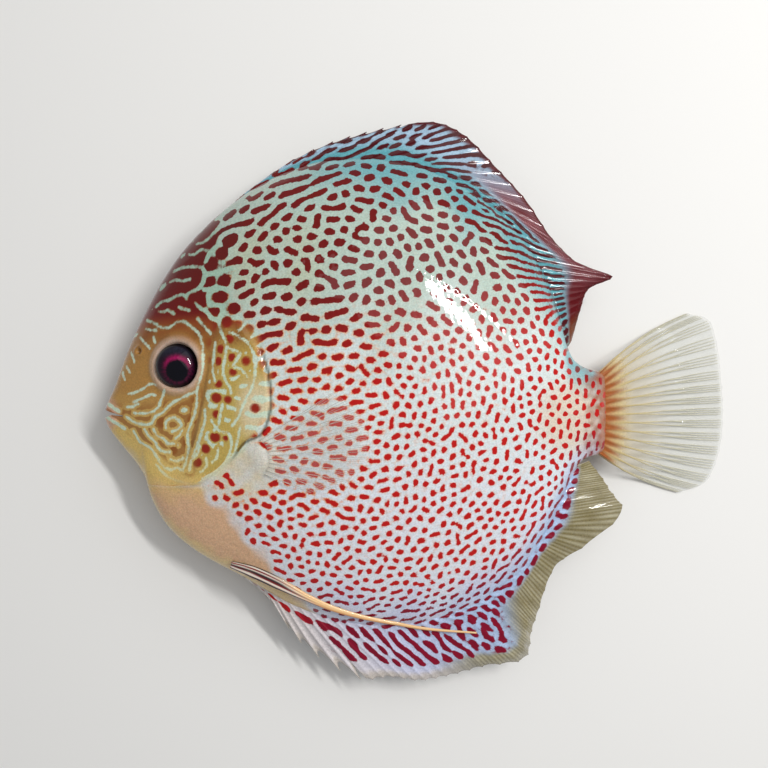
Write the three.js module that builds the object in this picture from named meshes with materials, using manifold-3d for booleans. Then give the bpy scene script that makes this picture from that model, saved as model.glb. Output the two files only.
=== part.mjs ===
// A discus fish of the leopard spotted kind, life size, lying still on its right side as on a measuring board.
// Units are millimetres. +Z is up, the head points to -X and the back to +Y, so the left side faces up.
// The lowest level is z = 0: the flattened right flank and the drooped tail fin rest on it.
import * as THREE from "three";
import { mergeVertices } from "three/addons/utils/BufferGeometryUtils.js";
import Module from "manifold-3d";

const wasm = await Module();
wasm.setup();

// Driving dimensions
const GAP = 0.3; // between neighbouring pieces
const REST_HEIGHT = 12.3; // middle of the thickest place above the floor
const THICKEST = { x: -16, y: 13 }; // side-view place of the thickest point
const BODY_SAG = 0.0006; // how the middle surface falls away from there, per mm
const TAIL_SAG = 0.006; // extra fall of the tail stalk, per mm
const TAIL_SAG_FROM = 20; // where the tail stalk starts to fall
const STATIONS = 40; // rings along the body
const RING = 40; // points round the body

// Side outlines of the body without its fins, as [x, y]
const BACK = [
  [-72.3, -1.0], [-71.6, 0.6], [-70, 4.2], [-66.9, 12.5], [-62.8, 21.1], [-58.6, 28.6], [-54.3, 34.6],
  [-47.3, 41.8], [-38.7, 48.4], [-30.4, 52.6], [-21.4, 55.1], [-12.4, 55.6], [-3.3, 54.2], [5.7, 50.8],
  [14.7, 45], [22.6, 36.7], [27.8, 27.6], [30.5, 19.7], [32, 13.6], [34, 9.6], [37.2, 7.7], [41.2, 6.8],
];
const BELLY = [
  [-72.3, -4.2], [-71.6, -5.9], [-68, -10.7], [-65.5, -13.7], [-63.3, -17.4], [-61.7, -22.6], [-58.1, -28.5],
  [-52.9, -33.1], [-48.4, -35.9], [-41.7, -39.4], [-36, -42.8], [-30.4, -46], [-21.4, -49.4], [-12.4, -51],
  [-3.3, -50.9], [5.7, -49], [14.7, -44.9], [22.6, -37.7], [28.2, -28.7], [32.3, -19.7], [34.5, -15],
  [37.2, -12.7], [41.2, -11.8],
];
// Half thickness, height of the thickest line, and fullness of the upper and lower curves, as [x, value]
const HALF = [
  [-72.3, 1.7], [-71.6, 2.4], [-70, 3.1], [-66, 4.7], [-60, 6.9], [-53.8, 8.7], [-46, 10.7], [-38, 12.1],
  [-28, 12.8], [-16, 13], [-4, 12.3], [8, 10.6], [18, 8.5], [26, 6.4], [32, 4.8], [36, 3.9], [39.5, 3.2],
  [41.2, 2.1],
];
const RIDGE = [
  [-72.3, -2.6], [-66, 0], [-60, 4], [-53.8, 7], [-46, 9], [-38, 10], [-28, 12], [-16, 13], [-4, 12],
  [8, 9], [18, 5], [26, 1], [32, -1.5], [41.2, -2.5],
];
const UPPER_FULLNESS = [[-72.3, 0.5], [-58, 0.5], [-38, 0.62], [-16, 0.74], [8, 0.82], [26, 0.75], [32, 0.62], [41.2, 0.5]];
const LOWER_FULLNESS = [[-72.3, 0.5], [-60, 0.55], [-45, 0.6], [-30, 0.62], [-10, 0.7], [8, 0.8], [26, 0.75], [32, 0.62], [41.2, 0.5]];

// Head: the line behind the gill covers that parts it from the trunk, and the front edge of each cover
const GILL_LINE = [
  [-50, 60], [-47, 42], [-43.5, 30], [-40.1, 18.2], [-35.4, 11.4], [-33.6, 5], [-33.4, -0.9], [-35.2, -6],
  [-39.2, -8.2], [-41.8, -11.6], [-45.4, -15], [-49.4, -17.6], [-54.2, -18.9], [-59, -18.4], [-80, -18.2],
];
const COVER_EDGE_FROM = 3; // the cover's free rear edge is this stretch of the gill line
const COVER_EDGE_TO = 12;
const COVER_FRONT = [[-53.6, -14.8], [-50.6, -9], [-48.4, -2], [-46.8, 6], [-45.4, 13], [-44, 19.2]];
const COVER_RISE = 0.5;
const COVER_DEPTH = 0.9;
const EYE = { x: -53.8, y: 8.1, radius: 4.9, depth: 3, rise: 1.8 };
const EYE_RIM = { radius: 5.4, thick: 0.75 };
const NOSTRIL = { x: -63.4, y: 11.4, radius: 0.75 };
const MOUTH = [[-75, -0.4], [-75, -4.2], [-70.4, -2.6], [-67.2, -3.1], [-67.2, -2.8], [-70.4, -2.1]];
const UPPER_LIP = { y: -0.7, front: -71.5, back: -67.4, half: 2.7, radius: 1.15, drop: -1.3 };
const LOWER_LIP = { y: -4.5, front: -71.7, back: -67.6, half: 2.6, radius: 1.35, drop: 0.9 };

// Tail stalk, parted from the trunk here
const STALK_X = 31.4;

// Fins as key rays, each [root x, root y, tip x, tip y], from the head end to the tail end
const DORSAL = {
  spines: 9, rays: 30, rows: 5, root: 0.85, edge: 0.3, ridge: 0.22, droop: 1.6, sunk: 2.6, notch: 0.12,
  keys: [
    [-42.5, 45.6, -38.5, 49.6], [-37, 49.4, -30.4, 55.2], [-30, 52.8, -21.5, 59.3], [-22, 55, -12.8, 61.8],
    [-14, 55.7, -4, 63.5], [-6, 54.8, 3, 63.8], [1.5, 52.6, 9, 61], [8, 49.5, 16.3, 53.6], [14.5, 45.2, 23, 46.2],
    [20, 39.9, 29.5, 36.8], [24.5, 33.8, 36, 31], [27.8, 27.6, 42.9, 28.6], [29.5, 22.8, 37.4, 25.8],
    [31, 17.8, 35.6, 21], [32.4, 12.8, 33.7, 14.2],
  ],
};
const ANAL = {
  spines: 8, rays: 29, rows: 5, root: 0.85, edge: 0.3, ridge: 0.22, droop: 1.6, sunk: 2.6, notch: 0.2,
  keys: [
    [-41, -39.6, -38.5, -42.4], [-37.5, -41.7, -33.5, -47.6], [-34.5, -43.5, -30.1, -53.4], [-30.5, -45.9, -23.5, -59.1],
    [-25.5, -48, -14.4, -63.7], [-20.5, -49.6, -8, -63.2], [-15, -50.6, -1, -64], [-9.5, -51.1, 6, -62.8],
    [-3.5, -50.9, 13.5, -60.8], [3, -49.7, 23.3, -58.8], [8.5, -48, 24.7, -52.5], [13.5, -45.6, 26.3, -47.5],
    [18.5, -41.9, 28, -42], [22.5, -37.8, 30.5, -37.2], [26, -32.6, 36.5, -33.3], [28.5, -28.1, 45.7, -24.7],
    [31, -22.8, 43, -20.5], [33, -18.2, 41, -17.4], [34.8, -14.6, 38, -13.6],
  ],
};
const CAUDAL = {
  spines: 0, rays: 16, rows: 8, root: 1.3, edge: 0.28, ridge: 0.25, sunk: 2.4, notch: 0.02,
  rest: 0.62, rests_from: 0.72, slope: -0.28, bow: 1.5,
  keys: [
    [40, 6.2, 63.5, 21.2], [40.4, 4.6, 68.4, 19.6], [40.6, 2.8, 70.6, 13], [40.7, 1, 71.4, 6.4],
    [40.8, -1, 71.8, 1.5], [40.8, -3.4, 71.9, -3.2], [40.7, -5.8, 71.6, -8.5], [40.6, -7.8, 70.4, -14],
    [40.4, -9.6, 67.6, -19.4], [40, -11.2, 61.5, -21.8],
  ],
};
// The paired fins lie along the flanks; the right ones are pressed flatter under the fish
const PECTORAL = {
  spines: 0, rays: 11, rows: 5, root: 0.75, edge: 0.27, ridge: 0.15, sunk: 0, notch: 0.05,
  base: { x: -35, y: -11.4, length: 9, width: 3.6, rise: 1.5 },
  clear: 0.75, lift: 1.9, turn_right: -42,
  keys: [
    [-35.4, -7.6, -19.5, 2.6], [-34.2, -8.6, -14.6, -1.6], [-33.6, -10, -12.6, -6.4], [-33.4, -11.6, -13.4, -11.6],
    [-33.6, -13.2, -17.4, -16.4], [-34.4, -14.8, -24.8, -18.6],
  ],
};
const PELVIC = {
  path: [
    [-43.4, -36], [-38.5, -37.3], [-33, -39.6], [-27, -42.8], [-20.5, -45.8], [-12.3, -48.4], [-1.2, -50.9], [12, -52.2],
  ],
  width: [1.5, 2.7, 2.9, 2.5, 1.9, 1.4, 0.95, 0.5],
  thick: 0.95, clear: 0.4, steps: 22, rays: 5,
};

const COLOURS = {
  flesh: { color: 0xd9d3cb, roughness: 0.35, metalness: 0 },
  head: { color: 0xb98a45, roughness: 0.35, metalness: 0 },
  cover: { color: 0xc9a763, roughness: 0.32, metalness: 0 },
  eye: { color: 0x2a0a20, roughness: 0.08, metalness: 0 },
  dorsal: { color: 0x8d2b3c, roughness: 0.3, metalness: 0 },
  anal: { color: 0xb9b6c4, roughness: 0.3, metalness: 0 },
  clear_fin: { color: 0xd8dcd2, roughness: 0.2, metalness: 0 },
  pelvic: { color: 0xe0a765, roughness: 0.3, metalness: 0 },
};

// A smooth curve through [x, y] points that never overshoots them, as a function of x
function through(points) {
  const n = points.length;
  const slope = points.slice(1).map(([x, y], i) => (y - points[i][1]) / (x - points[i][0]));
  const tangent = points.map((_, i) => {
    if (i === 0) return slope[0];
    if (i === n - 1) return slope[n - 2];
    const [before, after] = [slope[i - 1], slope[i]];
    return before * after <= 0 ? 0 : (2 * before * after) / (before + after);
  });
  return (x) => {
    let i = 0;
    while (i < n - 2 && x > points[i + 1][0]) i += 1;
    const width = points[i + 1][0] - points[i][0];
    const t = THREE.MathUtils.clamp((x - points[i][0]) / width, 0, 1);
    const h = [2 * t ** 3 - 3 * t ** 2 + 1, t ** 3 - 2 * t ** 2 + t, -2 * t ** 3 + 3 * t ** 2, t ** 3 - t ** 2];
    return h[0] * points[i][1] + h[1] * width * tangent[i] + h[2] * points[i + 1][1] + h[3] * width * tangent[i + 1];
  };
}

const back = through(BACK);
const belly = through(BELLY);
const half = through(HALF);
const ridge = through(RIDGE);
const upperFullness = through(UPPER_FULLNESS);
const lowerFullness = through(LOWER_FULLNESS);
const SNOUT_X = BACK[0][0];
const ROOT_X = BACK.at(-1)[0];

// Height of the middle surface, halfway between the left and right sides
function middle(x, y) {
  const away = (x - THICKEST.x) ** 2 + (y - THICKEST.y) ** 2;
  return REST_HEIGHT - BODY_SAG * away - TAIL_SAG * Math.max(0, x - TAIL_SAG_FROM) ** 2;
}

// Half thickness of the body at a place of the side view, and 0 outside it
function halfAt(x, y) {
  const top = back(x);
  const bottom = belly(x);
  const line = ridge(x);
  const s = y > line ? (y - line) / (top - line) : (line - y) / (line - bottom);
  if (s >= 1 || x < SNOUT_X || x > ROOT_X) return 0;
  return half(x) * (1 - s * s) ** (y > line ? upperFullness(x) : lowerFullness(x));
}

// Stations closer together where the outline is steep
function stationPlaces(count) {
  const fine = 800;
  const places = [];
  let total = 0;
  for (let i = 0; i <= fine; i += 1) {
    const x = THREE.MathUtils.lerp(SNOUT_X, ROOT_X, i / fine);
    const step = (ROOT_X - SNOUT_X) / fine;
    const rise = Math.max(Math.abs(back(x) - back(x - step)), Math.abs(belly(x) - belly(x - step)));
    total += i === 0 ? 0 : Math.hypot(step, 0.6 * rise);
    places.push([total, x]);
  }
  const place = through(places);
  return Array.from({ length: count + 1 }, (_, i) => place((total * i) / count));
}

// A solid from rings of points, closed by a fan at each end; each ring runs the same way round
function solidOfRings(rings) {
  const count = rings[0].length;
  const points = rings.flat();
  const faces = [];
  for (let i = 0; i + 1 < rings.length; i += 1) {
    for (let j = 0; j < count; j += 1) {
      const k = (j + 1) % count;
      const [a, b, c, d] = [i * count + j, i * count + k, (i + 1) * count + k, (i + 1) * count + j];
      faces.push([a, b, c], [a, c, d]);
    }
  }
  for (const [start, turned] of [[0, true], [(rings.length - 1) * count, false]]) {
    const ring = points.slice(start, start + count);
    const centre = ring.reduce((sum, p) => sum.map((v, axis) => v + p[axis] / count), [0, 0, 0]);
    points.push(centre);
    for (let j = 0; j < count; j += 1) {
      const [a, b] = [start + j, start + ((j + 1) % count)];
      faces.push(turned ? [b, a, points.length - 1] : [a, b, points.length - 1]);
    }
  }
  return solidOf(points, faces);
}

function solidOf(points, faces) {
  const build = (triangles) =>
    new wasm.Manifold(
      new wasm.Mesh({
        numProp: 3,
        vertProperties: new Float32Array(points.flat()),
        triVerts: new Uint32Array(triangles.flat()),
      }),
    );
  const made = build(faces);
  return made.volume() > 0 ? made : build(faces.map(([a, b, c]) => [a, c, b]));
}

function solidOfGeometry(geometry) {
  const bare = geometry.index ? geometry.toNonIndexed() : geometry.clone();
  bare.deleteAttribute("normal");
  bare.deleteAttribute("uv");
  const merged = mergeVertices(bare, 1e-4);
  return new wasm.Manifold(
    new wasm.Mesh({
      numProp: 3,
      vertProperties: merged.attributes.position.array,
      triVerts: new Uint32Array(merged.index.array),
    }),
  );
}

// The body without fins, grown or shrunk all round by grow
function body(grow) {
  const rings = stationPlaces(STATIONS).map((x, i) => {
    const place = i === 0 ? x - grow : i === STATIONS ? x + grow : x;
    return Array.from({ length: RING }, (_, k) => {
      const angle = (2 * Math.PI * k) / RING;
      const [s, c] = [Math.sin(angle), Math.cos(angle)];
      const reach = s > 0 ? back(x) - ridge(x) : ridge(x) - belly(x);
      const fullness = s > 0 ? upperFullness(x) : lowerFullness(x);
      const y = ridge(x) + (reach + grow) * s;
      const out = Math.sign(c) * (half(x) + grow) * Math.abs(c) ** (2 * fullness);
      return [place, y, middle(x, y) + out];
    });
  });
  return solidOfRings(rings);
}

// An upright prism over a side-view outline, from below the floor to above the fish
function prism(outline, low = -5, high = 40) {
  const shape = new THREE.Shape(outline.map(([x, y]) => new THREE.Vector2(x, y)));
  const geometry = new THREE.ExtrudeGeometry(shape, { depth: high - low, bevelEnabled: false, steps: 1 });
  return solidOfGeometry(geometry.translate(0, 0, low));
}

// The same line moved sideways by distance, to its right as it runs
function beside(line, distance) {
  return line.map(([x, y], i) => {
    const [x0, y0] = line[Math.max(i - 1, 0)];
    const [x1, y1] = line[Math.min(i + 1, line.length - 1)];
    const length = Math.hypot(x1 - x0, y1 - y0);
    return [x + (distance * (y1 - y0)) / length, y - (distance * (x1 - x0)) / length];
  });
}

// A closed outline moved outwards by distance
function outset(outline, distance) {
  const count = outline.length;
  const turn = THREE.ShapeUtils.area(outline.map(([x, y]) => new THREE.Vector2(x, y))) > 0 ? 1 : -1;
  return outline.map(([x, y], i) => {
    const [x0, y0] = outline[(i + count - 1) % count];
    const [x1, y1] = outline[(i + 1) % count];
    const before = new THREE.Vector2(y - y0, x0 - x).normalize();
    const after = new THREE.Vector2(y1 - y, x - x1).normalize();
    const corner = before.clone().add(after).normalize();
    const reach = (turn * distance) / Math.max(0.4, corner.dot(before));
    return [x + corner.x * reach, y + corner.y * reach];
  });
}

// The same line with rounded bends, as count + 1 points
function rounded(line, count) {
  const curve = new THREE.SplineCurve(line.map(([x, y]) => new THREE.Vector2(x, y)));
  return curve.getPoints(count).map((p) => [p.x, p.y]);
}

function largest(solid) {
  const pieces = solid.decompose();
  return pieces.reduce((best, piece) => (piece.volume() > best.volume() ? piece : best));
}

// Root and tip lines of a fin through its key rays
function rayLines(keys) {
  const line = (a, b) => new THREE.CatmullRomCurve3(keys.map((key) => new THREE.Vector3(key[a], key[b], 0)));
  return { root: line(0, 1), tip: line(2, 3) };
}

// A fin: a sheet over its key rays with a ridge along each ray on both faces. at gives the height of its middle
// surface and grow thickens it all over, for cutting a neighbour clear of it.
function fin(spec, at, grow = 0) {
  const { root, tip } = rayLines(spec.keys);
  const rays = spec.spines + spec.rays;
  const columns = 2 * (rays - 1);
  const grid = [];
  for (let c = 0; c <= columns; c += 1) {
    const t = c / columns;
    const onRay = c % 2 === 0;
    const from = root.getPoint(t);
    const to = tip.getPoint(t);
    const way = to.clone().sub(from);
    const length = way.length();
    const spiny = t < (spec.spines - 0.5) / rays;
    const end = onRay ? 1 : 1 - (spiny ? spec.notch : spec.notch / 4);
    const start = from.clone().addScaledVector(way, -spec.sunk / length);
    const bow = (spec.bow ?? 0) * (1 - 2 * t);
    const column = [];
    for (let r = 0; r <= spec.rows; r += 1) {
      const v = r / spec.rows;
      const along = start.clone().lerp(from.clone().addScaledVector(way, end), v);
      const out = Math.max(0, 1 - (1 - v) * (1 + spec.sunk / length));
      along.x += grow * Math.sign(way.x) * (r === spec.rows ? 1 : 0);
      along.y += bow * 4 * v * (1 - v);
      const taper = THREE.MathUtils.lerp(spec.root, spec.edge, Math.sqrt(out));
      const lift = onRay ? spec.ridge * (1 - 0.5 * v) : 0;
      column.push([along.x, along.y, at(along.x, along.y, out, t, from), taper + lift + grow]);
    }
    grid.push(column);
  }
  const wide = spec.rows + 1;
  const points = [1, -1].flatMap((side) => grid.flat().map(([x, y, z, thick]) => [x, y, z + side * thick]));
  const under = (columns + 1) * wide;
  const faces = [];
  const quad = (a, b, c, d) => faces.push([a, b, c], [a, c, d]);
  for (let c = 0; c < columns; c += 1) {
    for (let r = 0; r < spec.rows; r += 1) {
      const [a, b, d] = [c * wide + r, (c + 1) * wide + r, c * wide + r + 1];
      faces.push([a, b, b + 1], [a, b + 1, d]);
      faces.push([under + a, under + b + 1, under + b], [under + a, under + d, under + b + 1]);
    }
    const [root0, root1] = [c * wide, (c + 1) * wide];
    quad(root0, under + root0, under + root1, root1);
    quad(root1 + spec.rows, under + root1 + spec.rows, under + root0 + spec.rows, root0 + spec.rows);
  }
  for (let r = 0; r < spec.rows; r += 1) {
    quad(r + 1, under + r + 1, under + r, r);
    const last = columns * wide + r;
    quad(last, under + last, under + last + 1, last + 1);
  }
  return solidOf(points, faces);
}

// Middle surface of the dorsal and anal fins: it leaves the body level and droops towards the tips
const drooping = (spec) => (x, y, out, t, from) => middle(from.x, from.y) - spec.droop * out ** 1.5;

// The tail fin leaves the stalk at its slope, bends down to the floor and lies there
function tailHeight(x, y, out) {
  const t = Math.min(out / CAUDAL.rests_from, 1);
  const reach = (x - ROOT_X) / Math.max(out, 0.05);
  const start = CAUDAL.slope * reach * CAUDAL.rests_from;
  const down = 3 * t * t - 2 * t ** 3;
  return THREE.MathUtils.lerp(middle(ROOT_X, y), CAUDAL.rest, down) + start * t * (1 - t) ** 2;
}

// A paired fin beside the body: side is 1 for the left, upper, side and -1 for the right one
const pectoralHeight = (side) => (x, y, out) => {
  const surface = middle(x, y) + side * halfAt(x, y);
  const clear = PECTORAL.clear + (side > 0 ? PECTORAL.lift * out ** 1.5 : 0);
  const height = surface + side * clear;
  return side > 0 ? height : Math.max(height, PECTORAL.root + PECTORAL.ridge);
};

function turned(keys, centre, degrees) {
  const around = new THREE.Vector2(centre.x, centre.y);
  const angle = THREE.MathUtils.degToRad(degrees);
  return keys.map((key) => {
    const ends = [new THREE.Vector2(key[0], key[1]), new THREE.Vector2(key[2], key[3])];
    return ends.flatMap((end) => end.rotateAround(around, angle).toArray());
  });
}

// Pectoral fin: its fan and the fleshy lobe that carries it
function pectoral(side, grow = 0) {
  const { base } = PECTORAL;
  const degrees = side > 0 ? 0 : PECTORAL.turn_right;
  const keys = turned(PECTORAL.keys, base, degrees);
  const fan = fin({ ...PECTORAL, keys }, pectoralHeight(side), grow);
  const lobe = new THREE.SphereGeometry(1, 16, 10)
    .scale(base.width / 2 + grow, base.length / 2 + grow, base.rise + grow)
    .rotateZ(THREE.MathUtils.degToRad(degrees * 0.4))
    .translate(base.x, base.y, middle(base.x, base.y) + side * (halfAt(base.x, base.y) + 0.2));
  return fan.add(solidOfGeometry(lobe));
}

// Pelvic fin: folded to one long tapered blade of five rays along the belly, over the anal fin's root
function pelvic(side) {
  const path = new THREE.CatmullRomCurve3(PELVIC.path.map(([x, y]) => new THREE.Vector3(x, y, 0)));
  const width = through(PELVIC.width.map((w, i) => [i / (PELVIC.width.length - 1), w]));
  const sides = 2 * PELVIC.rays;
  const rings = Array.from({ length: PELVIC.steps + 1 }, (_, i) => {
    const t = i / PELVIC.steps;
    const place = path.getPoint(t);
    const way = path.getTangent(t);
    const across = width(t);
    const thick = THREE.MathUtils.lerp(PELVIC.thick, 0.5, t);
    const surface = (x, y) => {
      const onFin = y < belly(x) + 4 ? ANAL.root + ANAL.ridge : 0;
      return Math.max(halfAt(x, y), onFin);
    };
    const out = surface(place.x, place.y) + PELVIC.clear + thick / 2;
    const sunk = t === 0 ? 1.6 : 0;
    return Array.from({ length: sides }, (__, k) => {
      const angle = (2 * Math.PI * k) / sides;
      const offset = (Math.cos(angle) * across) / 2;
      const [x, y] = [place.x - way.y * offset, place.y + way.x * offset];
      const ripple = 1 + 0.2 * (k % 2 === 0 ? 1 : -1);
      const high = (Math.sin(angle) * thick * ripple) / 2;
      const z = middle(x, y) + side * (Math.max(out, surface(x, y) + PELVIC.clear + thick / 2) - sunk) + high;
      return [x, y, z];
    });
  });
  return solidOfRings(rings);
}

// A lip: a round bead bent round the snout from one corner of the mouth to the other
function lip({ y, front, back: corner, half: wide, radius, drop }) {
  const steps = 14;
  const sides = 8;
  const rings = Array.from({ length: steps + 1 }, (_, i) => {
    const a = THREE.MathUtils.lerp(-0.5, 0.5, i / steps) * Math.PI;
    const x = corner + (front - corner) * Math.cos(a);
    const across = wide * Math.sin(a);
    const fall = drop * (1 - Math.cos(a));
    const size = radius * (0.55 + 0.45 * Math.cos(a));
    const centre = [x + size * 0.6, y + fall, middle(x, y) + across * 1.12];
    const outward = [-Math.cos(a), Math.sin(a)];
    return Array.from({ length: sides }, (__, k) => {
      const b = (2 * Math.PI * k) / sides;
      const push = size * Math.cos(b);
      return [centre[0] + outward[0] * push, centre[1] + size * Math.sin(b), centre[2] + outward[1] * push];
    });
  });
  return solidOfRings(rings);
}

function eyeSurface(side) {
  return middle(EYE.x, EYE.y) + side * (halfAt(EYE.x, EYE.y) + EYE.rise - EYE.depth);
}

function eyeball(side, grow = 0) {
  const ball = new THREE.SphereGeometry(1, 20, 10)
    .rotateX(Math.PI / 2)
    .scale(EYE.radius + grow, EYE.radius + grow, EYE.depth + grow)
    .translate(EYE.x, EYE.y, eyeSurface(side));
  return solidOfGeometry(ball);
}

// The soft ring of skin that the eyeball sits in, set on the slope of the cheek
function eyeRim(side) {
  const steps = 20;
  const sides = 6;
  const points = [];
  const faces = [];
  for (let i = 0; i < steps; i += 1) {
    const a = (2 * Math.PI * i) / steps;
    for (let k = 0; k < sides; k += 1) {
      const b = (2 * Math.PI * k) / sides;
      const r = EYE_RIM.radius + EYE_RIM.thick * Math.cos(b);
      const [x, y] = [EYE.x + r * Math.cos(a), EYE.y + r * Math.sin(a)];
      points.push([x, y, middle(x, y) + side * (halfAt(x, y) + 0.25) + EYE_RIM.thick * Math.sin(b)]);
      const [next, up] = [((i + 1) % steps) * sides, (k + 1) % sides];
      faces.push([i * sides + k, next + k, next + up], [i * sides + k, next + up, i * sides + up]);
    }
  }
  return solidOf(points, faces);
}

function nostril(side) {
  const pit = new THREE.SphereGeometry(NOSTRIL.radius, 10, 8);
  const z = middle(NOSTRIL.x, NOSTRIL.y) + side * (halfAt(NOSTRIL.x, NOSTRIL.y) + 0.1);
  return solidOfGeometry(pit.translate(NOSTRIL.x, NOSTRIL.y, z));
}

// Gill covers: the outline of each plate, and of the pocket in the head that it lies in
const GILL_STEPS = 4; // points of the rounded line for each given one
const gillLine = rounded(GILL_LINE, GILL_STEPS * (GILL_LINE.length - 1));
const coverRear = gillLine.slice(GILL_STEPS * COVER_EDGE_FROM, GILL_STEPS * COVER_EDGE_TO + 1);
const coverPlate = [...coverRear, ...rounded(COVER_FRONT, 8)];
const coverPocket = outset(coverPlate, GAP);
const sideHalf = (side) =>
  prism([[-90, -80], [90, -80], [90, 80], [-90, 80]], side > 0 ? REST_HEIGHT : -20, side > 0 ? 40 : REST_HEIGHT - 2);

const floor = solidOfGeometry(new THREE.BoxGeometry(400, 400, 100).translate(0, 0, -50));
const whole = body(0);
const clearOfBody = body(GAP);

const headRegion = [...gillLine, [-90, -18.2], [-90, 60]];
const trunkSide = [...beside(gillLine, -GAP), [-90, -18.2 - GAP], [-90, 60], [-50, 70]];

function gillCover(side) {
  const shell = body(COVER_RISE).subtract(body(-COVER_DEPTH));
  return largest(shell.intersect(prism(coverPlate)).intersect(sideHalf(side)).subtract(floor));
}

function head() {
  let made = whole.intersect(prism(headRegion));
  const deep = body(-COVER_DEPTH - GAP);
  for (const side of [1, -1]) {
    made = made.add(eyeRim(side));
    made = made.subtract(prism(coverPocket).intersect(sideHalf(side)).subtract(deep));
    made = made.subtract(eyeball(side, GAP)).subtract(nostril(side));
  }
  made = made.subtract(prism(MOUTH, 0, 30));
  const lips = lip(UPPER_LIP).add(lip(LOWER_LIP)).subtract(prism(MOUTH, 0, 30));
  return largest(made.add(lips).subtract(floor));
}

// The flank is pressed in over the fin that lies under it
function trunk() {
  const made = whole.subtract(prism(trunkSide)).subtract(prism(trunkEnd));
  return largest(made.subtract(pectoral(-1, GAP)).subtract(floor));
}

const stalkRegion = [[STALK_X, -40], [90, -40], [90, 40], [STALK_X, 40]];
const trunkEnd = [[STALK_X - GAP, -90], [90, -90], [90, 90], [STALK_X - GAP, 90]];

const solids = {
  head: [head(), "head"],
  trunk: [trunk(), "flesh"],
  tail_stalk: [largest(whole.intersect(prism(stalkRegion)).subtract(floor)), "flesh"],
  dorsal_fin: [largest(fin(DORSAL, drooping(DORSAL)).subtract(clearOfBody)), "dorsal"],
  anal_fin: [largest(fin(ANAL, drooping(ANAL)).subtract(clearOfBody)), "anal"],
  caudal_fin: [largest(fin(CAUDAL, tailHeight).subtract(clearOfBody).subtract(floor)), "clear_fin"],
};
const clearOfAnal = fin(ANAL, drooping(ANAL), GAP);
for (const [name, side] of [["left", 1], ["right", -1]]) {
  solids[`gill_cover_${name}`] = [gillCover(side), "cover"];
  solids[`eye_${name}`] = [eyeball(side).subtract(floor), "eye"];
  const clearOfCover = body(COVER_RISE + GAP).intersect(prism(beside(coverPlate, 0))).intersect(sideHalf(side));
  const paired = side > 0 ? pectoral(side).subtract(clearOfBody) : pectoral(side);
  solids[`pectoral_fin_${name}`] = [largest(paired.subtract(clearOfCover).subtract(floor)), "clear_fin"];
  solids[`pelvic_fin_${name}`] = [largest(pelvic(side).subtract(clearOfBody).subtract(clearOfAnal)), "pelvic"];
}

// The group's origin is under the middle of the whole fish, on the floor
const fish = new THREE.Group();
const box = new THREE.Box3();
for (const [name, [solid, finish]] of Object.entries(solids)) {
  const { vertProperties, triVerts } = solid.getMesh();
  const geometry = new THREE.BufferGeometry();
  geometry.setAttribute("position", new THREE.BufferAttribute(new Float32Array(vertProperties), 3));
  geometry.setIndex(new THREE.BufferAttribute(new Uint32Array(triVerts), 1));
  geometry.computeVertexNormals();
  const mesh = new THREE.Mesh(geometry, new THREE.MeshStandardMaterial(COLOURS[finish]));
  mesh.name = name;
  fish.add(mesh);
  box.expandByObject(mesh);
}
const centre = box.getCenter(new THREE.Vector3());
fish.position.set(-centre.x, -centre.y, 0);

export default fish;
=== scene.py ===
"""A leopard spotted discus fish lying on its right side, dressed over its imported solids.

Sizes are in millimetres in the fish's own side view, x towards the tail and y towards the back, and
are turned to metres where a mesh is made.
"""

import math

import bmesh
import bpy
import numpy as np
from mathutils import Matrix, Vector


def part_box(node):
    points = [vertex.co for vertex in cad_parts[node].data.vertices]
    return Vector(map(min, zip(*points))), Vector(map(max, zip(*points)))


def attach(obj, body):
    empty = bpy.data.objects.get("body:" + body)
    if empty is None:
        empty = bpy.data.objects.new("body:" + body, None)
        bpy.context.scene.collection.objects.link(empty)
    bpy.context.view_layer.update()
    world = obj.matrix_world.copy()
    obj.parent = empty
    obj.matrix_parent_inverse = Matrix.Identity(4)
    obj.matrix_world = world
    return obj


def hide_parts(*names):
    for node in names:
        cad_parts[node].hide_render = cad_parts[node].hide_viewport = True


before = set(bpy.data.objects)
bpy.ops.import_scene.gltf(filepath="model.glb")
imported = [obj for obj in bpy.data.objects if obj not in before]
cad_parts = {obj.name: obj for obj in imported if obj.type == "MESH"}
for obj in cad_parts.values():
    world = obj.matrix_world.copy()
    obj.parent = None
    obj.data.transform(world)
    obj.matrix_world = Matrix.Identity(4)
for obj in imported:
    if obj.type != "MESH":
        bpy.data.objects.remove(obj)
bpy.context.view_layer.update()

# The body: one lens-shaped form from the lips to the root of the tail fin. Its outline, thickness
# and roundness are those of the solids, so every later piece finds its place on the same surface.
MM = 0.001
REST_HEIGHT = 12.3
THICKEST_X, THICKEST_Y = -16.0, 13.0
BODY_SAG = 0.0006
TAIL_SAG, TAIL_SAG_FROM = 0.006, 20.0
SNOUT_X, ROOT_X = -72.3, 41.2
EYE_X, EYE_Y = -53.8, 8.1

eye_low, eye_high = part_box("eye_left")
SHIFT = np.array([
    (eye_low[0] + eye_high[0]) / 2 / MM - EYE_X,
    (eye_low[1] + eye_high[1]) / 2 / MM - EYE_Y,
    0.0,
])

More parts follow.
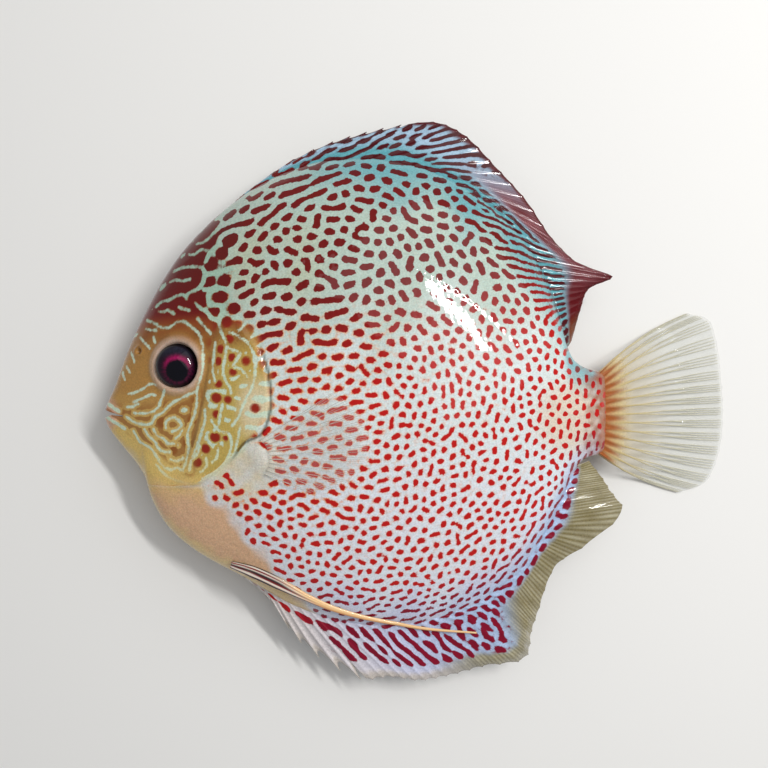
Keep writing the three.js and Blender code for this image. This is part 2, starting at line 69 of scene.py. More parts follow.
BACK = [
    (-72.3, -1.0), (-71.6, 0.6), (-70, 4.2), (-66.9, 12.5), (-62.8, 21.1), (-58.6, 28.6), (-54.3, 34.6),
    (-47.3, 41.8), (-38.7, 48.4), (-30.4, 52.6), (-21.4, 55.1), (-12.4, 55.6), (-3.3, 54.2), (5.7, 50.8),
    (14.7, 45), (22.6, 36.7), (27.8, 27.6), (30.5, 19.7), (32, 13.6), (34, 9.6), (37.2, 7.7), (41.2, 6.8),
]
BELLY = [
    (-72.3, -4.2), (-71.6, -5.9), (-68, -10.7), (-65.5, -13.7), (-63.3, -17.4), (-61.7, -22.6),
    (-58.1, -28.5), (-52.9, -33.1), (-48.4, -35.9), (-41.7, -39.4), (-36, -42.8), (-30.4, -46),
    (-21.4, -49.4), (-12.4, -51), (-3.3, -50.9), (5.7, -49), (14.7, -44.9), (22.6, -37.7), (28.2, -28.7),
    (32.3, -19.7), (34.5, -15), (37.2, -12.7), (41.2, -11.8),
]
HALF = [
    (-72.3, 1.7), (-71.6, 2.4), (-70, 3.1), (-66, 4.7), (-60, 6.9), (-53.8, 8.7), (-46, 10.7),
    (-38, 12.1), (-28, 12.8), (-16, 13), (-4, 12.3), (8, 10.6), (18, 8.5), (26, 6.4), (32, 4.8),
    (36, 3.9), (39.5, 3.2), (41.2, 2.1),
]
RIDGE = [
    (-72.3, -2.6), (-66, 0), (-60, 4), (-53.8, 7), (-46, 9), (-38, 10), (-28, 12), (-16, 13), (-4, 12),
    (8, 9), (18, 5), (26, 1), (32, -1.5), (41.2, -2.5),
]
UPPER_FULLNESS = [
    (-72.3, 0.5), (-58, 0.5), (-38, 0.62), (-16, 0.74), (8, 0.82), (26, 0.75), (32, 0.62), (41.2, 0.5),
]
LOWER_FULLNESS = [
    (-72.3, 0.5), (-60, 0.55), (-45, 0.6), (-30, 0.62), (-10, 0.7), (8, 0.8), (26, 0.75), (32, 0.62),
    (41.2, 0.5),
]


def through(points):
    """A smooth curve through (x, y) points that never overshoots them, as a function of x."""
    px, py = np.array(points, float).T
    slope = np.diff(py) / np.diff(px)
    tangent = np.concatenate([[slope[0]], np.zeros(len(px) - 2), [slope[-1]]])
    product = slope[:-1] * slope[1:]
    total = np.where(product > 0, slope[:-1] + slope[1:], 1.0)
    tangent[1:-1] = np.where(product > 0, 2 * product / total, 0.0)

    def value(x):
        x = np.asarray(x, float)
        i = np.clip(np.searchsorted(px, x, side="left") - 1, 0, len(px) - 2)
        width = px[i + 1] - px[i]
        t = np.clip((x - px[i]) / width, 0, 1)
        start = (2 * t**3 - 3 * t**2 + 1) * py[i] + (t**3 - 2 * t**2 + t) * width * tangent[i]
        end = (-2 * t**3 + 3 * t**2) * py[i + 1] + (t**3 - t**2) * width * tangent[i + 1]
        return start + end

    return value


back, belly, half, ridge = through(BACK), through(BELLY), through(HALF), through(RIDGE)
upper_fullness, lower_fullness = through(UPPER_FULLNESS), through(LOWER_FULLNESS)


def smooth(low, high, value):
    """0 below low, 1 above high, with soft ends; low may be above high."""
    t = np.clip((np.asarray(value, float) - low) / (high - low), 0, 1)
    return t * t * (3 - 2 * t)


def middle(x, y):
    """Height of the surface halfway between the left and right sides."""
    away = (x - THICKEST_X) ** 2 + (y - THICKEST_Y) ** 2
    return REST_HEIGHT - BODY_SAG * away - TAIL_SAG * np.maximum(0, x - TAIL_SAG_FROM) ** 2


def half_at(x, y):
    """Half thickness at a place of the side view, and 0 outside the body."""
    line = ridge(x)
    above = y > line
    s = np.where(above, (y - line) / (back(x) - line), (line - y) / (line - belly(x)))
    inside = (s < 1) & (x > SNOUT_X) & (x < ROOT_X)
    full = np.where(above, upper_fullness(x), lower_fullness(x))
    return np.where(inside, half(x) * np.clip(1 - s * s, 0, 1) ** full, 0.0)


# The markings: red pigment cells in the skin, sorted into spots and rows. They are made once on a flat
# chart of the side view, in millimetres inside a mark's edge, and read by skin and fins on both sides.
CHART_STEP = 0.24
CHART_X0, CHART_X1, CHART_Y0, CHART_Y1 = -76.8, 76.8, -69.12, 69.12
PIGMENT_SEED = 11
GILL_LINE = [
    (-50, 60), (-47, 42), (-43.5, 30), (-40.1, 18.2), (-35.4, 11.4), (-33.6, 5), (-33.4, -0.9),
    (-35.2, -6), (-39.2, -8.2), (-41.8, -11.6), (-45.4, -15), (-49.4, -17.6), (-54.2, -18.9),
    (-59, -18.4), (-80, -18.2),
]
COVER_FRONT = [
    (-61, -29), (-56.8, -20.5), (-53.6, -14.8), (-50.6, -9), (-48.4, -2), (-46.8, 6), (-45.4, 13),
    (-44, 19.2), (-42.5, 28),
]
DORSAL_KEYS = [
    (-42.5, 45.6, -38.5, 49.6), (-37, 49.4, -30.4, 55.2), (-30, 52.8, -21.5, 59.3),
    (-22, 55, -12.8, 61.8), (-14, 55.7, -4, 63.5), (-6, 54.8, 3, 63.8), (1.5, 52.6, 9, 61),
    (8, 49.5, 16.3, 53.6), (14.5, 45.2, 23, 46.2), (20, 39.9, 29.5, 36.8), (24.5, 33.8, 36, 31),
    (27.8, 27.6, 42.9, 28.6), (29.5, 22.8, 37.4, 25.8), (31, 17.8, 35.6, 21), (32.4, 12.8, 33.7, 14.2),
]
ANAL_KEYS = [
    (-41, -39.6, -38.5, -42.4), (-37.5, -41.7, -33.5, -47.6), (-34.5, -43.5, -30.1, -53.4),
    (-30.5, -45.9, -23.5, -59.1), (-25.5, -48, -14.4, -63.7), (-20.5, -49.6, -8, -63.2),
    (-15, -50.6, -1, -64), (-9.5, -51.1, 6, -62.8), (-3.5, -50.9, 13.5, -60.8), (3, -49.7, 23.3, -58.8),
    (8.5, -48, 24.7, -52.5), (13.5, -45.6, 26.3, -47.5), (18.5, -41.9, 28, -42),
    (22.5, -37.8, 30.5, -37.2), (26, -32.6, 36.5, -33.3), (28.5, -28.1, 45.7, -24.7),
    (31, -22.8, 43, -20.5), (33, -18.2, 41, -17.4), (34.8, -14.6, 38, -13.6),
]
DORSAL_RAYS, ANAL_RAYS = 39, 37
# How far along the fin's edge each ray ends for where it starts: the rays lean back
UPRIGHT = [(0, 0), (1, 1)]
DORSAL_LEAN = [
    (0, 0), (0.1, 0.14), (0.2, 0.26), (0.3, 0.39), (0.4, 0.49), (0.5, 0.59), (0.6, 0.68), (0.7, 0.755),
    (0.8, 0.83), (0.9, 0.91), (1, 1),
]
ANAL_LEAN = [
    (0, 0), (0.1, 0.115), (0.2, 0.225), (0.3, 0.3), (0.45, 0.405), (0.56, 0.49), (0.67, 0.585),
    (0.78, 0.74), (0.88, 0.87), (1, 1),
]
STREAK_PULL = 0.04
# The place round which the flank's marks lie in rings, and twice the angle of the shoulder's long marks
RINGS_X, RINGS_Y = -22, 2
SHOULDER_TURN = 1.3
# The pigment's own distances between marks in mm, and the directions in which it can stretch them
SPACINGS, USUAL_SPACING = (1.3, 1.9, 2.7), 2.2
DIRECTIONS = 8
STEEPNESS = 7.0
# How far round a drawn line of the head the pigment feels it, in mm
LINE_REACH = 1.4

# Pale lines of the head, each as places along it, from the nape to the throat
HEAD_LINES = [
    [(-61.8, 18.3), (-59.3, 17.3), (-57.4, 16.3), (-55.4, 16.6), (-53.6, 17.6), (-51.9, 17.4),
     (-50.7, 16.5), (-48.8, 14.8), (-47.9, 12.3), (-47.7, 9.3), (-47.9, 6.6), (-48.7, 4.3), (-49.4, 2.1)],
    [(-61.8, 16.2), (-59.1, 15.9)],
    [(-59.6, 21.2), (-58.1, 22.2), (-56.4, 22.4), (-54.6, 23.2), (-52.9, 23.4), (-51.9, 22.6)],
    [(-58.7, 20), (-57.4, 20), (-56.3, 20.2), (-54.8, 19.4)],
    [(-53.6, 20.7), (-52.4, 20.3), (-51.1, 19.9)],
    [(-56.6, 26.7), (-54.9, 26.9), (-53.4, 26.6), (-51.4, 26.9)],
    [(-56, 29), (-53.9, 29.6), (-51.2, 29.7), (-48.9, 29.3), (-48, 28.1), (-48.1, 26.2), (-49.4, 24.6),
     (-51.2, 23.9), (-52.2, 23)],
    [(-52.4, 32.7), (-50.9, 32.6), (-49.4, 33.5), (-47.8, 33.2)],
    [(-50.7, 35.1), (-48.8, 35.3), (-46.9, 37.1), (-45, 38.8), (-42.5, 39.6), (-39.5, 40.5)],
    [(-47.8, 30.6), (-47.3, 32.6), (-45.5, 34.5), (-44.9, 36.1), (-42.5, 37.3)],
    [(-46.9, 40.8), (-44.5, 42.5), (-42.5, 43.5), (-40, 44.6)],
    [(-45, 42.8), (-42.2, 44.8), (-39.5, 46.7), (-37, 47.7)],
    [(-38.5, 46.2), (-35.5, 48.5), (-32.6, 50)],
    [(-49.9, 21.5), (-48.5, 20.3), (-46.9, 19.4), (-45.9, 18.1), (-44.8, 17.6)],
    [(-45, 24.2), (-46.5, 23.8), (-46.9, 22.2), (-46.1, 20.8), (-44.2, 20.8), (-43.6, 20), (-44.2, 17.7),
     (-43.9, 15.7), (-43, 13.8), (-41.9, 11.7), (-40, 11)],
    [(-47.4, 27.6), (-44.5, 28.2), (-41.5, 29.1), (-38, 29.1)],
    [(-47.9, 24.4), (-44.5, 24.7), (-41.5, 23.8)],
    [(-49.1, 18.2), (-47.8, 16.6), (-46.1, 14.8)],
    [(-41.7, 15), (-39.5, 13.9), (-37.6, 12.5), (-36.6, 10.3), (-36.2, 7.8), (-36.5, 4.8), (-37.5, 2.4),
     (-38.8, -0.1), (-40, -2.9), (-41.4, -4.6)],
    [(-45, 13), (-45.2, 10.3), (-45.5, 7.3), (-45, 4.8)],
    [(-42.4, 12.3), (-42.7, 9.8), (-43.2, 7.3), (-42.6, 4.8), (-41.6, 3.2), (-41.4, 2.2)],
    [(-39.5, 10.5), (-40.3, 9), (-41.1, 8), (-39.3, 7.3), (-37.9, 5.8)],
    [(-43.4, -0.1), (-43.9, -2.4), (-44.5, -4.6), (-45.4, -5.7)],
    [(-46, -3.3), (-45, -5.1), (-43.4, -6), (-42.1, -6.3), (-41.6, -8.1), (-42.1, -10.6), (-43.5, -13.1),
     (-45.5, -14.9), (-47.4, -16)],
    [(-48.8, -9.1), (-49.4, -10.8), (-50.4, -11.8)],
    [(-47.4, -11.5), (-47.4, -13.5), (-48.9, -14.8)],
    [(-44.5, -9.5), (-45, -11.5), (-46.1, -12.5)],
    [(-59.3, -13.5), (-57.9, -15.1), (-55.9, -16.5), (-53.4, -17.1), (-50.9, -17.5), (-48.2, -17),
     (-45.3, -15.6), (-42.7, -13.5), (-41.2, -11), (-40.3, -7.8), (-39.5, -4.6)],
    [(-65.7, 2), (-64.1, 2.3), (-61.7, 3.3), (-60.2, 4.2), (-58.6, 4)],
    [(-64.4, 0.2), (-61.3, 1.4), (-60.1, 1.9), (-59, 1.8)],
    [(-66.1, -1), (-64.5, -0.7), (-63.3, -0.2)],
    [(-64.4, -2.2), (-60.7, -2.1), (-58.4, -0.9), (-57.4, 1.3), (-56.6, 2.8)],
    [(-66.4, -3), (-64.1, -4.3), (-60.2, -4.5), (-59.1, -2.9), (-57.4, -2.1), (-55.3, -0.1), (-53.2, 0.9),
     (-51.4, 1.8), (-49.3, 2.6)],
    [(-56.6, -5.4), (-56.5, -3.9), (-54.9, -3.1), (-53.5, -3.7), (-52.9, -4.6), (-54.1, -5.7),
     (-55.3, -6.1)],
    [(-59.6, -5.7), (-58.6, -7.1), (-57.3, -7.7), (-56.3, -8.7), (-54.9, -8.8)],
    [(-61.8, -5.7), (-60.8, -7.2), (-59.4, -8.4), (-58.8, -9.6), (-57.6, -10.5), (-55.9, -10.6)],
    [(-64.7, -6.1), (-63.3, -8.4), (-60.3, -10), (-59.3, -11.5), (-58.5, -12.3)],
    [(-49.2, 1.9), (-49.4, -0.6), (-50.2, -3.3), (-51.3, -5.6), (-51.6, -8.1), (-51.4, -9.8),
     (-52.1, -12.5), (-52.9, -14.5)],
    [(-47.4, -1.2), (-47.4, -3.6), (-48.3, -6.3), (-49.4, -9.1), (-50.8, -12), (-51.4, -14.5)],
    [(-58.8, -12.6), (-57.4, -14), (-55.7, -14.5), (-54.3, -14), (-53.3, -14.5)],
    [(-55.9, -12.1), (-54.4, -12.6), (-52.8, -11.8)],
    [(-54.4, -7.6), (-53.4, -6.8), (-52.7, -5.7)],
    [(-65.5, 11.2), (-64.4, 9)],
    [(-66.6, 8.1), (-65.6, 6.8)],
    [(-67.6, 6.8), (-66.8, 5.1)],
    [(-63.3, 14.5), (-61.4, 12.8), (-60.5, 12)],
    [(-59.6, 14.4), (-59.1, 13.2)],
]
# Round marks of the head and gill cover, each as x, y and radius
HEAD_SPOTS = [
    (-46.7, 30.1, 1.3), (-44.2, 32.4, 1.3), (-42.7, 35.3, 1.7), (-40.7, 30.1, 1.2), (-46.7, 25.9, 1.1),
    (-43.5, 25.9, 1.2), (-44.2, 22.7, 1.3), (-45.5, 19.8, 1.2), (-46, 16.6, 1.2), (-42.5, 17.1, 1),
    (-41, 20.1, 1), (-41.9, 13.7, 1), (-46.9, 13, 0.8), (-43.7, 11.5, 0.9), (-46.5, 9.2, 0.7),
    (-44.2, 9, 0.9), (-41.2, 9.7, 0.9), (-38.2, 9, 0.9), (-44.7, 1.3, 1.1), (-42.2, 0.9, 0.8),
    (-44.7, -2.2, 0.9), (-49.9, 1.3, 0.8), (-44.2, 4.2, 0.8), (-41, 6.7, 0.8), (-36.3, -0.9, 1),
    (-45.2, -7.1, 1.1), (-47.4, -9.6, 1), (-49.4, -12.6, 1), (-46.7, -12.5, 0.6), (-42.8, -7.2, 0.6),
    (-50.5, -3.5, 0.9), (-51.8, -8.5, 0.8), (-57.6, -4.2, 1), (-55, -10.2, 0.8),
]


def catmull(points, t):
    """Places on a centripetal curve through (x, y) points, for t from 0 to 1 over its stretches."""
    p = np.array(points, float)
    p = np.vstack([2 * p[0] - p[1], p, 2 * p[-1] - p[-2]])
    reach = np.clip(np.asarray(t, float), 0, 1) * (len(points) - 1)
    i = np.minimum(reach.astype(int), len(points) - 2)
    u = (reach - i)[:, None]
    gap = [np.sqrt(np.linalg.norm(p[i + k + 1] - p[i + k], axis=1))[:, None] for k in range(3)]
    x0, x1, x2, x3 = (p[i + k] for k in range(4))
    start = ((x1 - x0) / gap[0] - (x2 - x0) / (gap[0] + gap[1]) + (x2 - x1) / gap[1]) * gap[1]
    end = ((x2 - x1) / gap[1] - (x3 - x1) / (gap[1] + gap[2]) + (x3 - x2) / gap[2]) * gap[1]
    rise = -3 * x1 + 3 * x2 - 2 * start - end
    fall = 2 * x1 - 2 * x2 + start + end
    return x1 + start * u + rise * u**2 + fall * u**3


def ray_ends(keys, t, lean):
    """Root and tip places of a fin's rays at t from its front, 0, to its rear, 1."""
    keys = np.array(keys, float)
    return catmull(keys[:, :2], t), catmull(keys[:, 2:], through(lean)(t))


columns = round((CHART_X1 - CHART_X0) / CHART_STEP)
rows = round((CHART_Y1 - CHART_Y0) / CHART_STEP)
chart_x, chart_y = np.meshgrid(
    CHART_X0 + np.arange(columns) * CHART_STEP, CHART_Y0 + np.arange(rows) * CHART_STEP,
)


def near_line(places, reach):
    """Distance from each cell of the chart to a line of places, and reach where it is farther."""
    best = np.full((rows, columns), float(reach))
    for (x0, y0), (x1, y1) in zip(places[:-1], places[1:]):
        c0, c1 = (int((v - CHART_X0) / CHART_STEP) for v in (min(x0, x1) - reach, max(x0, x1) + reach))
        r0, r1 = (int((v - CHART_Y0) / CHART_STEP) for v in (min(y0, y1) - reach, max(y0, y1) + reach))
        cells = (slice(max(r0, 0), r1 + 1), slice(max(c0, 0), c1 + 1))
        dx, dy = x1 - x0, y1 - y0
        px, py = chart_x[cells] - x0, chart_y[cells] - y0
        t = np.clip((px * dx + py * dy) / max(dx * dx + dy * dy, 1e-9), 0, 1)
        best[cells] = np.minimum(best[cells], np.hypot(px - t * dx, py - t * dy))
    return best


def read_chart(chart, x, y):
    """The chart's values at places, between its cells."""
    u = np.clip((x - CHART_X0) / CHART_STEP, 0, columns - 1.001)
    v = np.clip((y - CHART_Y0) / CHART_STEP, 0, rows - 1.001)
    c, r = u.astype(int), v.astype(int)
    fu, fv = u - c, v - r
    low = chart[r, c] * (1 - fu) + chart[r, c + 1] * fu
    high = chart[r + 1, c] * (1 - fu) + chart[r + 1, c + 1] * fu
    return low * (1 - fv) + high * fv


def chart_waves():
    """Waves a mm of the chart's spectrum, along y and along x."""
    return np.fft.fftfreq(rows, CHART_STEP)[:, None], np.fft.rfftfreq(columns, CHART_STEP)[None, :]


def blurred(chart, sigma):
    """The chart smoothed over sigma mm."""
    ky, kx = chart_waves()
    kept = np.exp(-2 * (math.pi * sigma) ** 2 * (kx**2 + ky**2))
    return np.fft.irfft2(np.fft.rfft2(chart) * kept, s=chart.shape)


def below_back(x, y):
    """How far a place lies below the back's line, which is held level past the body's ends."""
    return back(np.clip(x, -60, 34)) - y


def above_belly(x, y, front=-50):
    """How far a place lies above the belly's line, which is held level before front and past the body."""
    return y - belly(np.clip(x, front, 34))


def above_jaw(x, y):
    """Height above the slanting line from the chin to the corner of the gill cover."""
    return y + 0.62 * (x + 62)


def gill_x(y):
    """x of the line behind the gill covers at a height."""
    line = [p for p in GILL_LINE if p[1] > -18.5][::-1]
    return np.interp(y, [p[1] for p in line], [p[0] for p in line])


def ragged(x, y, scale, seed):
    """A soft uneven field from -1 to 1 with patches about scale mm across."""
    phase = np.random.default_rng(seed).uniform(0, 2 * math.pi, (6, 2))
    total = 0.0
    for k in range(6):
        turn = k * 1.1 + phase[k, 0]
        wave = 2 * math.pi / scale * (0.55 + 0.16 * k)
        total = total + np.sin(wave * (x * math.cos(turn) + y * math.sin(turn)) + phase[k, 1])
    return total / 3.2


def near(x, y, px, py, inner, outer):
    """1 within inner mm of a place, 0 beyond outer."""
    return smooth(outer, inner, np.hypot(x - px, y - py))


def head_share(x, y):
    """1 on the head and gill cover, 0 behind them."""
    rear = gill_x(y) + 1.2 * ragged(x, y, 9, 5)
    return smooth(2.2, -1.6, x - rear) * smooth(-25, -18.5, y + 0.15 * (x + 60))


def open_nape(x, y):
    """1 behind the crown, where the head's pale lines widen into the ground between the spots."""
    edge = -48 + 0.8 * np.maximum(y - 31, 0) + 1.0 * ragged(x, y, 6, 24)
    return smooth(-1.5, 2.0, x - edge) * smooth(16, 20, y)


def breast_share(x, y):
    """1 on the plain breast and throat, 0 where the spots begin."""
    return smooth(2.0, -2.5, x + 47 - 0.75 * (-19 - y) + 1.5 * ragged(x, y, 6, 8)) * smooth(-16.5, -19, y)


def upper(x, y):
    """1 over the back, where spots are large and dark, and 0 over the flank and belly."""
    return smooth(2, 30, y - 0.1 * x)


def fin_field(keys, rays, lean):
    """On the chart: how surely a place is on a fin, how far out on it, its lane and its rays' direction."""
    t, v = (a.ravel() for a in np.meshgrid(np.linspace(0, 1, 1400), np.linspace(-1.0, 1.12, 200)))
    root, tip = ray_ends(keys, t, lean)
    place = root + (tip - root) * v[:, None]
    turn = 2 * np.arctan2(*(tip - root).T[::-1])
    c = np.clip(((place[:, 0] - CHART_X0) / CHART_STEP + 0.5).astype(int), 0, columns - 1)
    r = np.clip(((place[:, 1] - CHART_Y0) / CHART_STEP + 0.5).astype(int), 0, rows - 1)
    count = np.zeros((rows, columns))
    np.add.at(count, (r, c), 1)
    sums = []
    for values in (v, t * (rays - 1), np.cos(turn), np.sin(turn)):
        total = np.zeros((rows, columns))
        np.add.at(total, (r, c), values)
        sums.append(blurred(total, 0.35) / np.maximum(blurred(count, 0.35), 1e-3))
    share = np.clip(blurred(np.minimum(count, 1), 0.5), 0, 1)
    return share, *sums


def pigment_plan():
    """For each place of the chart: the marks' spacing, stretch, lie, bias to pigment and growth."""
    x, y = chart_x, chart_y
    rim, low = below_back(x, y), above_belly(x, y, -60)
    high = upper(x, y)
    around = 2 * (np.arctan2(y - RINGS_Y, x - RINGS_X) + math.pi / 2)
    fanned = 2 * np.radians(np.clip(1.1 * y, -12, 30))
    row = smooth(-3, -19, x) * smooth(31, 18, y) * smooth(-30, -12, y)
    shoulder = smooth(17, 6, rim) * smooth(-14, -28, x) * smooth(-52, -44, x)
    base = smooth(11, 5, low) * smooth(-26, -10, x)
    cos_shoulder, sin_shoulder = shoulder * math.cos(SHOULDER_TURN), shoulder * math.sin(SHOULDER_TURN)
    cos2 = 0.25 * np.cos(around) + row * np.cos(fanned) + cos_shoulder + base * np.cos(around)
    sin2 = 0.25 * np.sin(around) + row * np.sin(fanned) + sin_shoulder + base * np.sin(around)
    stretch = np.clip(0.08 + 0.14 * row + 0.4 * shoulder + 0.3 * base, 0, 1)
    spacing = 1.85 + 0.6 * high - 0.35 * base + 0.2 * row
    bias = -0.158 + 0.015 * high + 0.02 * base + 0.045 * shoulder

    head = head_share(x, y)
    crown = smooth(21, 27, y)
    spacing = spacing * (1 - head) + (2.5 + 0.3 * crown) * head
    stretch = stretch * (1 - head) + 0.25 * head
    plain = 0.09 - 0.17 * smooth(-50, -45, x - 0.15 * y) * smooth(24, 14, y) - 0.24 * open_nape(x, y)
    bias = bias * (1 - head) + plain * head
    # Plain brown skin round the eye, below the jaw and on the snout
    calm = np.maximum(near(x, y, EYE_X, EYE_Y, 6.6, 8.2), smooth(-9, -12, above_jaw(x, y)) * head)
    calm = np.maximum(calm, smooth(-57, -61, x) * smooth(15, 12, y) * smooth(-1, 4, y))
    bias = bias + 0.6 * calm
    # Plain pale skin on the breast and under the pectoral fin's root
    under_fin = near(x, y, -37.5, -13.5, 3.5, 5.5)
    bias = bias - 0.9 * np.maximum(breast_share(x, y), under_fin) * (1 - head)
    bias = bias - 2.4 * head * (1 - head) * smooth(-7, -10, y)
    growth = 0.04 + 0.14 * high + 0.14 * head
    for keys, rays, lean, inward, bias_of, gap, streaks_a_ray, breaks, wider in (
        (DORSAL_KEYS, DORSAL_RAYS, DORSAL_LEAN, dorsal_inward, dorsal_bias, 1.7, 1.3, 0.0, 0.1),
        (ANAL_KEYS, ANAL_RAYS, ANAL_LEAN, anal_inward, anal_bias, 2.2, 1.0, 0.11, 0.16),
    ):
        share, out, lane, cos_fin, sin_fin = fin_field(keys, rays, lean)
        share = share * inward(out, lane)
        cos2, sin2 = cos2 * (1 - share) + cos_fin * share, sin2 * (1 - share) + sin_fin * share
        stretch = stretch * (1 - share) + 1.0 * share
        spacing = spacing * (1 - share) + gap * (1 - 0.32 * smooth(12, 22, lane)) * share
        streaks = STREAK_PULL * np.cos(2 * math.pi * (streaks_a_ray * lane + 0.3 * ragged(x, y, 11, 26)))
        broken = np.cos(2 * math.pi * (1.9 * out + 0.5 * streaks_a_ray * lane + 0.5 * ragged(x, y, 7, 27)))
        streaks = streaks - breaks * smooth(0.45, 0.95, broken)
        bias = bias * (1 - share) + (bias_of(out, lane) + streaks) * share
        growth = growth * (1 - share) + wider * share
    return spacing, stretch, 0.5 * np.arctan2(sin2, cos2), bias, growth


def dorsal_inward(out, lane):
    """The rear dorsal rays' streaks begin well inside the back line."""
    reach = 0.12 + 0.75 * smooth(13, 20, lane) * smooth(38, 33, lane)
    return smooth(-reach - 0.15, -0.1 * reach, out)


def anal_inward(out, lane):
    """The anal rays' streaks begin at the belly's line, all along the fin."""
    return smooth(-0.05, 0.12, out)


def dorsal_dark(out, lane):
    """1 on the dark outer part of the rear dorsal fin, where only fine pale rays show."""
    return smooth(0.3, 0.62, out + 0.14 * smooth(18, 30, lane)) * smooth(14, 20, lane)


def dorsal_bias(out, lane):
    """Fuller streaks towards the edge of the soft rays, and none on the dark part."""
    return -0.09 + 0.06 * smooth(0.3, 0.9, out) * smooth(10, 18, lane) - 0.6 * dorsal_dark(out, lane)


def anal_bias(out, lane):
    """Streaks on the middle of the fin, and none on the first spines, the edge and the rear lobe."""
    bias = -0.1 - 0.5 * smooth(8, 4, lane) * smooth(0.1, 0.4, out) - 0.04 * smooth(0.5, 0.8, out)
    edge = smooth(0.74, 0.9, out + 0.06 * smooth(20, 10, lane))
    rear = smooth(22.5, 26, lane + 4 * out)
    return bias - 0.8 * np.maximum(edge, rear * smooth(0.12, 0.34, out))


def settled_pigment(rounds=22):
    """Lets pigment cells sort themselves: each draws near neighbours in and keeps farther ones away."""
    spacing, stretch, lie, bias, growth = pigment_plan()
    rng = np.random.default_rng(PIGMENT_SEED)
    scatter = blurred(rng.normal(0, 1, (rows, columns)), 0.5)
    scatter /= scatter.std()
    uneven = blurred(rng.normal(0, 1, (rows, columns)), 1.3)
    bias = bias + 0.014 * uneven / uneven.std()
    drawn = np.full((rows, columns), LINE_REACH)
    for line in HEAD_LINES:
        drawn = np.minimum(drawn, near_line(catmull(line, np.linspace(0, 1, 5 * len(line))), LINE_REACH))
    bias = bias - 0.7 * smooth(0.6, 0.1, drawn)
    for x, y, radius in HEAD_SPOTS:
        bias = bias + 0.5 * near(chart_x, chart_y, x, y, radius - 0.5, radius + 0.3)
    ky, kx = chart_waves()
    kernels = []
    for size in SPACINGS:
        size_share = np.interp(spacing, SPACINGS, [float(other == size) for other in SPACINGS])
        ring = size**2 * (kx**2 + ky**2)
        kernels.append((ring * np.exp(1 - ring), size_share * (1 - stretch)))
        for turn in np.arange(DIRECTIONS) * math.pi / DIRECTIONS:
            away = np.abs((lie - turn + math.pi / 2) % math.pi - math.pi / 2)
            along = (kx * math.cos(turn) + ky * math.sin(turn)) ** 2
            across = (ky * math.cos(turn) - kx * math.sin(turn)) ** 2
            ring = size**2 * (4.6 * along + 0.92 * across)
            favour = 0.78 + 0.22 * across / np.maximum(along + across, 1e-9)
            facing = np.clip(1 - away * DIRECTIONS / math.pi, 0, 1)
            kernels.append((ring * np.exp(1 - ring) * favour, size_share * stretch * facing))
    pigment = 0.5 + 0.12 * scatter
    for _ in range(rounds):
        waves = np.fft.rfft2(pigment - 0.5)
        pull = bias.copy()
        for kernel, share in kernels:
            pull += share * np.fft.irfft2(waves * kernel, s=pigment.shape)
        pigment = 0.5 + 0.5 * np.tanh(STEEPNESS * pull)
    head = head_share(chart_x, chart_y)
    inside = pull * spacing / USUAL_SPACING + growth
    inside = inside + 0.12 * ragged(chart_x, chart_y, 1.7, 23) * (1 - head)
    thin = 0.39 + 0.08 * ragged(chart_x, chart_y, 3.0, 21) + 0.05 * smooth(16, 24, chart_y)
    fill = 0.5 * smooth(0.1, 0.7, drawn) - 3 * (1 - head * (1 - open_nape(chart_x, chart_y)))
    inside = np.where(drawn < 0.9, np.maximum(inside, fill), inside)
    return np.where(drawn < 0.8, np.minimum(inside, drawn - thin), inside)


pigment_depth = settled_pigment()


# Colours. Between the marks the skin runs from turquoise along the back through pale mint to near
# white on the flank. The marks are red islands on the body, and ochre and brown on the head.
def linear(hex_colour):
    """An sRGB hex colour as linear red, green and blue."""
    value = np.array([int(hex_colour[i:i + 2], 16) for i in (0, 2, 4)]) / 255
    return np.where(value <= 0.04045, value / 12.92, ((value + 0.055) / 1.055) ** 2.4)


def evenly(colour, x):
    """The same colour for each of the places x."""
    return np.tile(colour, (len(x), 1))


def mix(colour, other, amount):
    """Colours turned towards another by an amount for each place."""
    amount = np.clip(amount, 0, 1)[:, None]
    return colour * (1 - amount) + other * amount


TAIL_ROOT = linear("9A5426")
FLANK_WHITE, BACK_MINT, BACK_TURQUOISE = linear("D0D8D6"), linear("ADBDB0"), linear("5A9FA8")
BELLY_WHITE, ANAL_LAVENDER, ANAL_BLUE = linear("D6DAE0"), linear("C3C6DF"), linear("9CB8D8")
SHOULDER_CREAM, SHOULDER_OLIVE, STALK_CREAM, STALK_BROWN = (
    linear("D6C7A6"), linear("B7B48C"), linear("D3BFA8"), linear("8E4A28"),
)
CHIN_CREAM, BREAST_TAN, BREAST_CREAM = linear("DDBC6C"), linear("D6AA8C"), linear("DCC286")
NAPE_MINT, CHEEK_MINT, THROAT_MINT = linear("9DB8A4"), linear("C6D6BE"), linear("D8D8AC")


def throat_colour(x, y):
    """Bare skin from the chin to the breast: cream along the outline, tan and mottled above it."""
    tan = 0.85 * smooth(-15, -23, y + 0.8 * ragged(x, y, 5, 15))
    tone = mix(evenly(CHIN_CREAM, x), BREAST_TAN, tan)
    return mix(tone, BREAST_CREAM, 0.8 * smooth(5, 1, above_belly(x, y, -66) + ragged(x, y, 4, 16)))


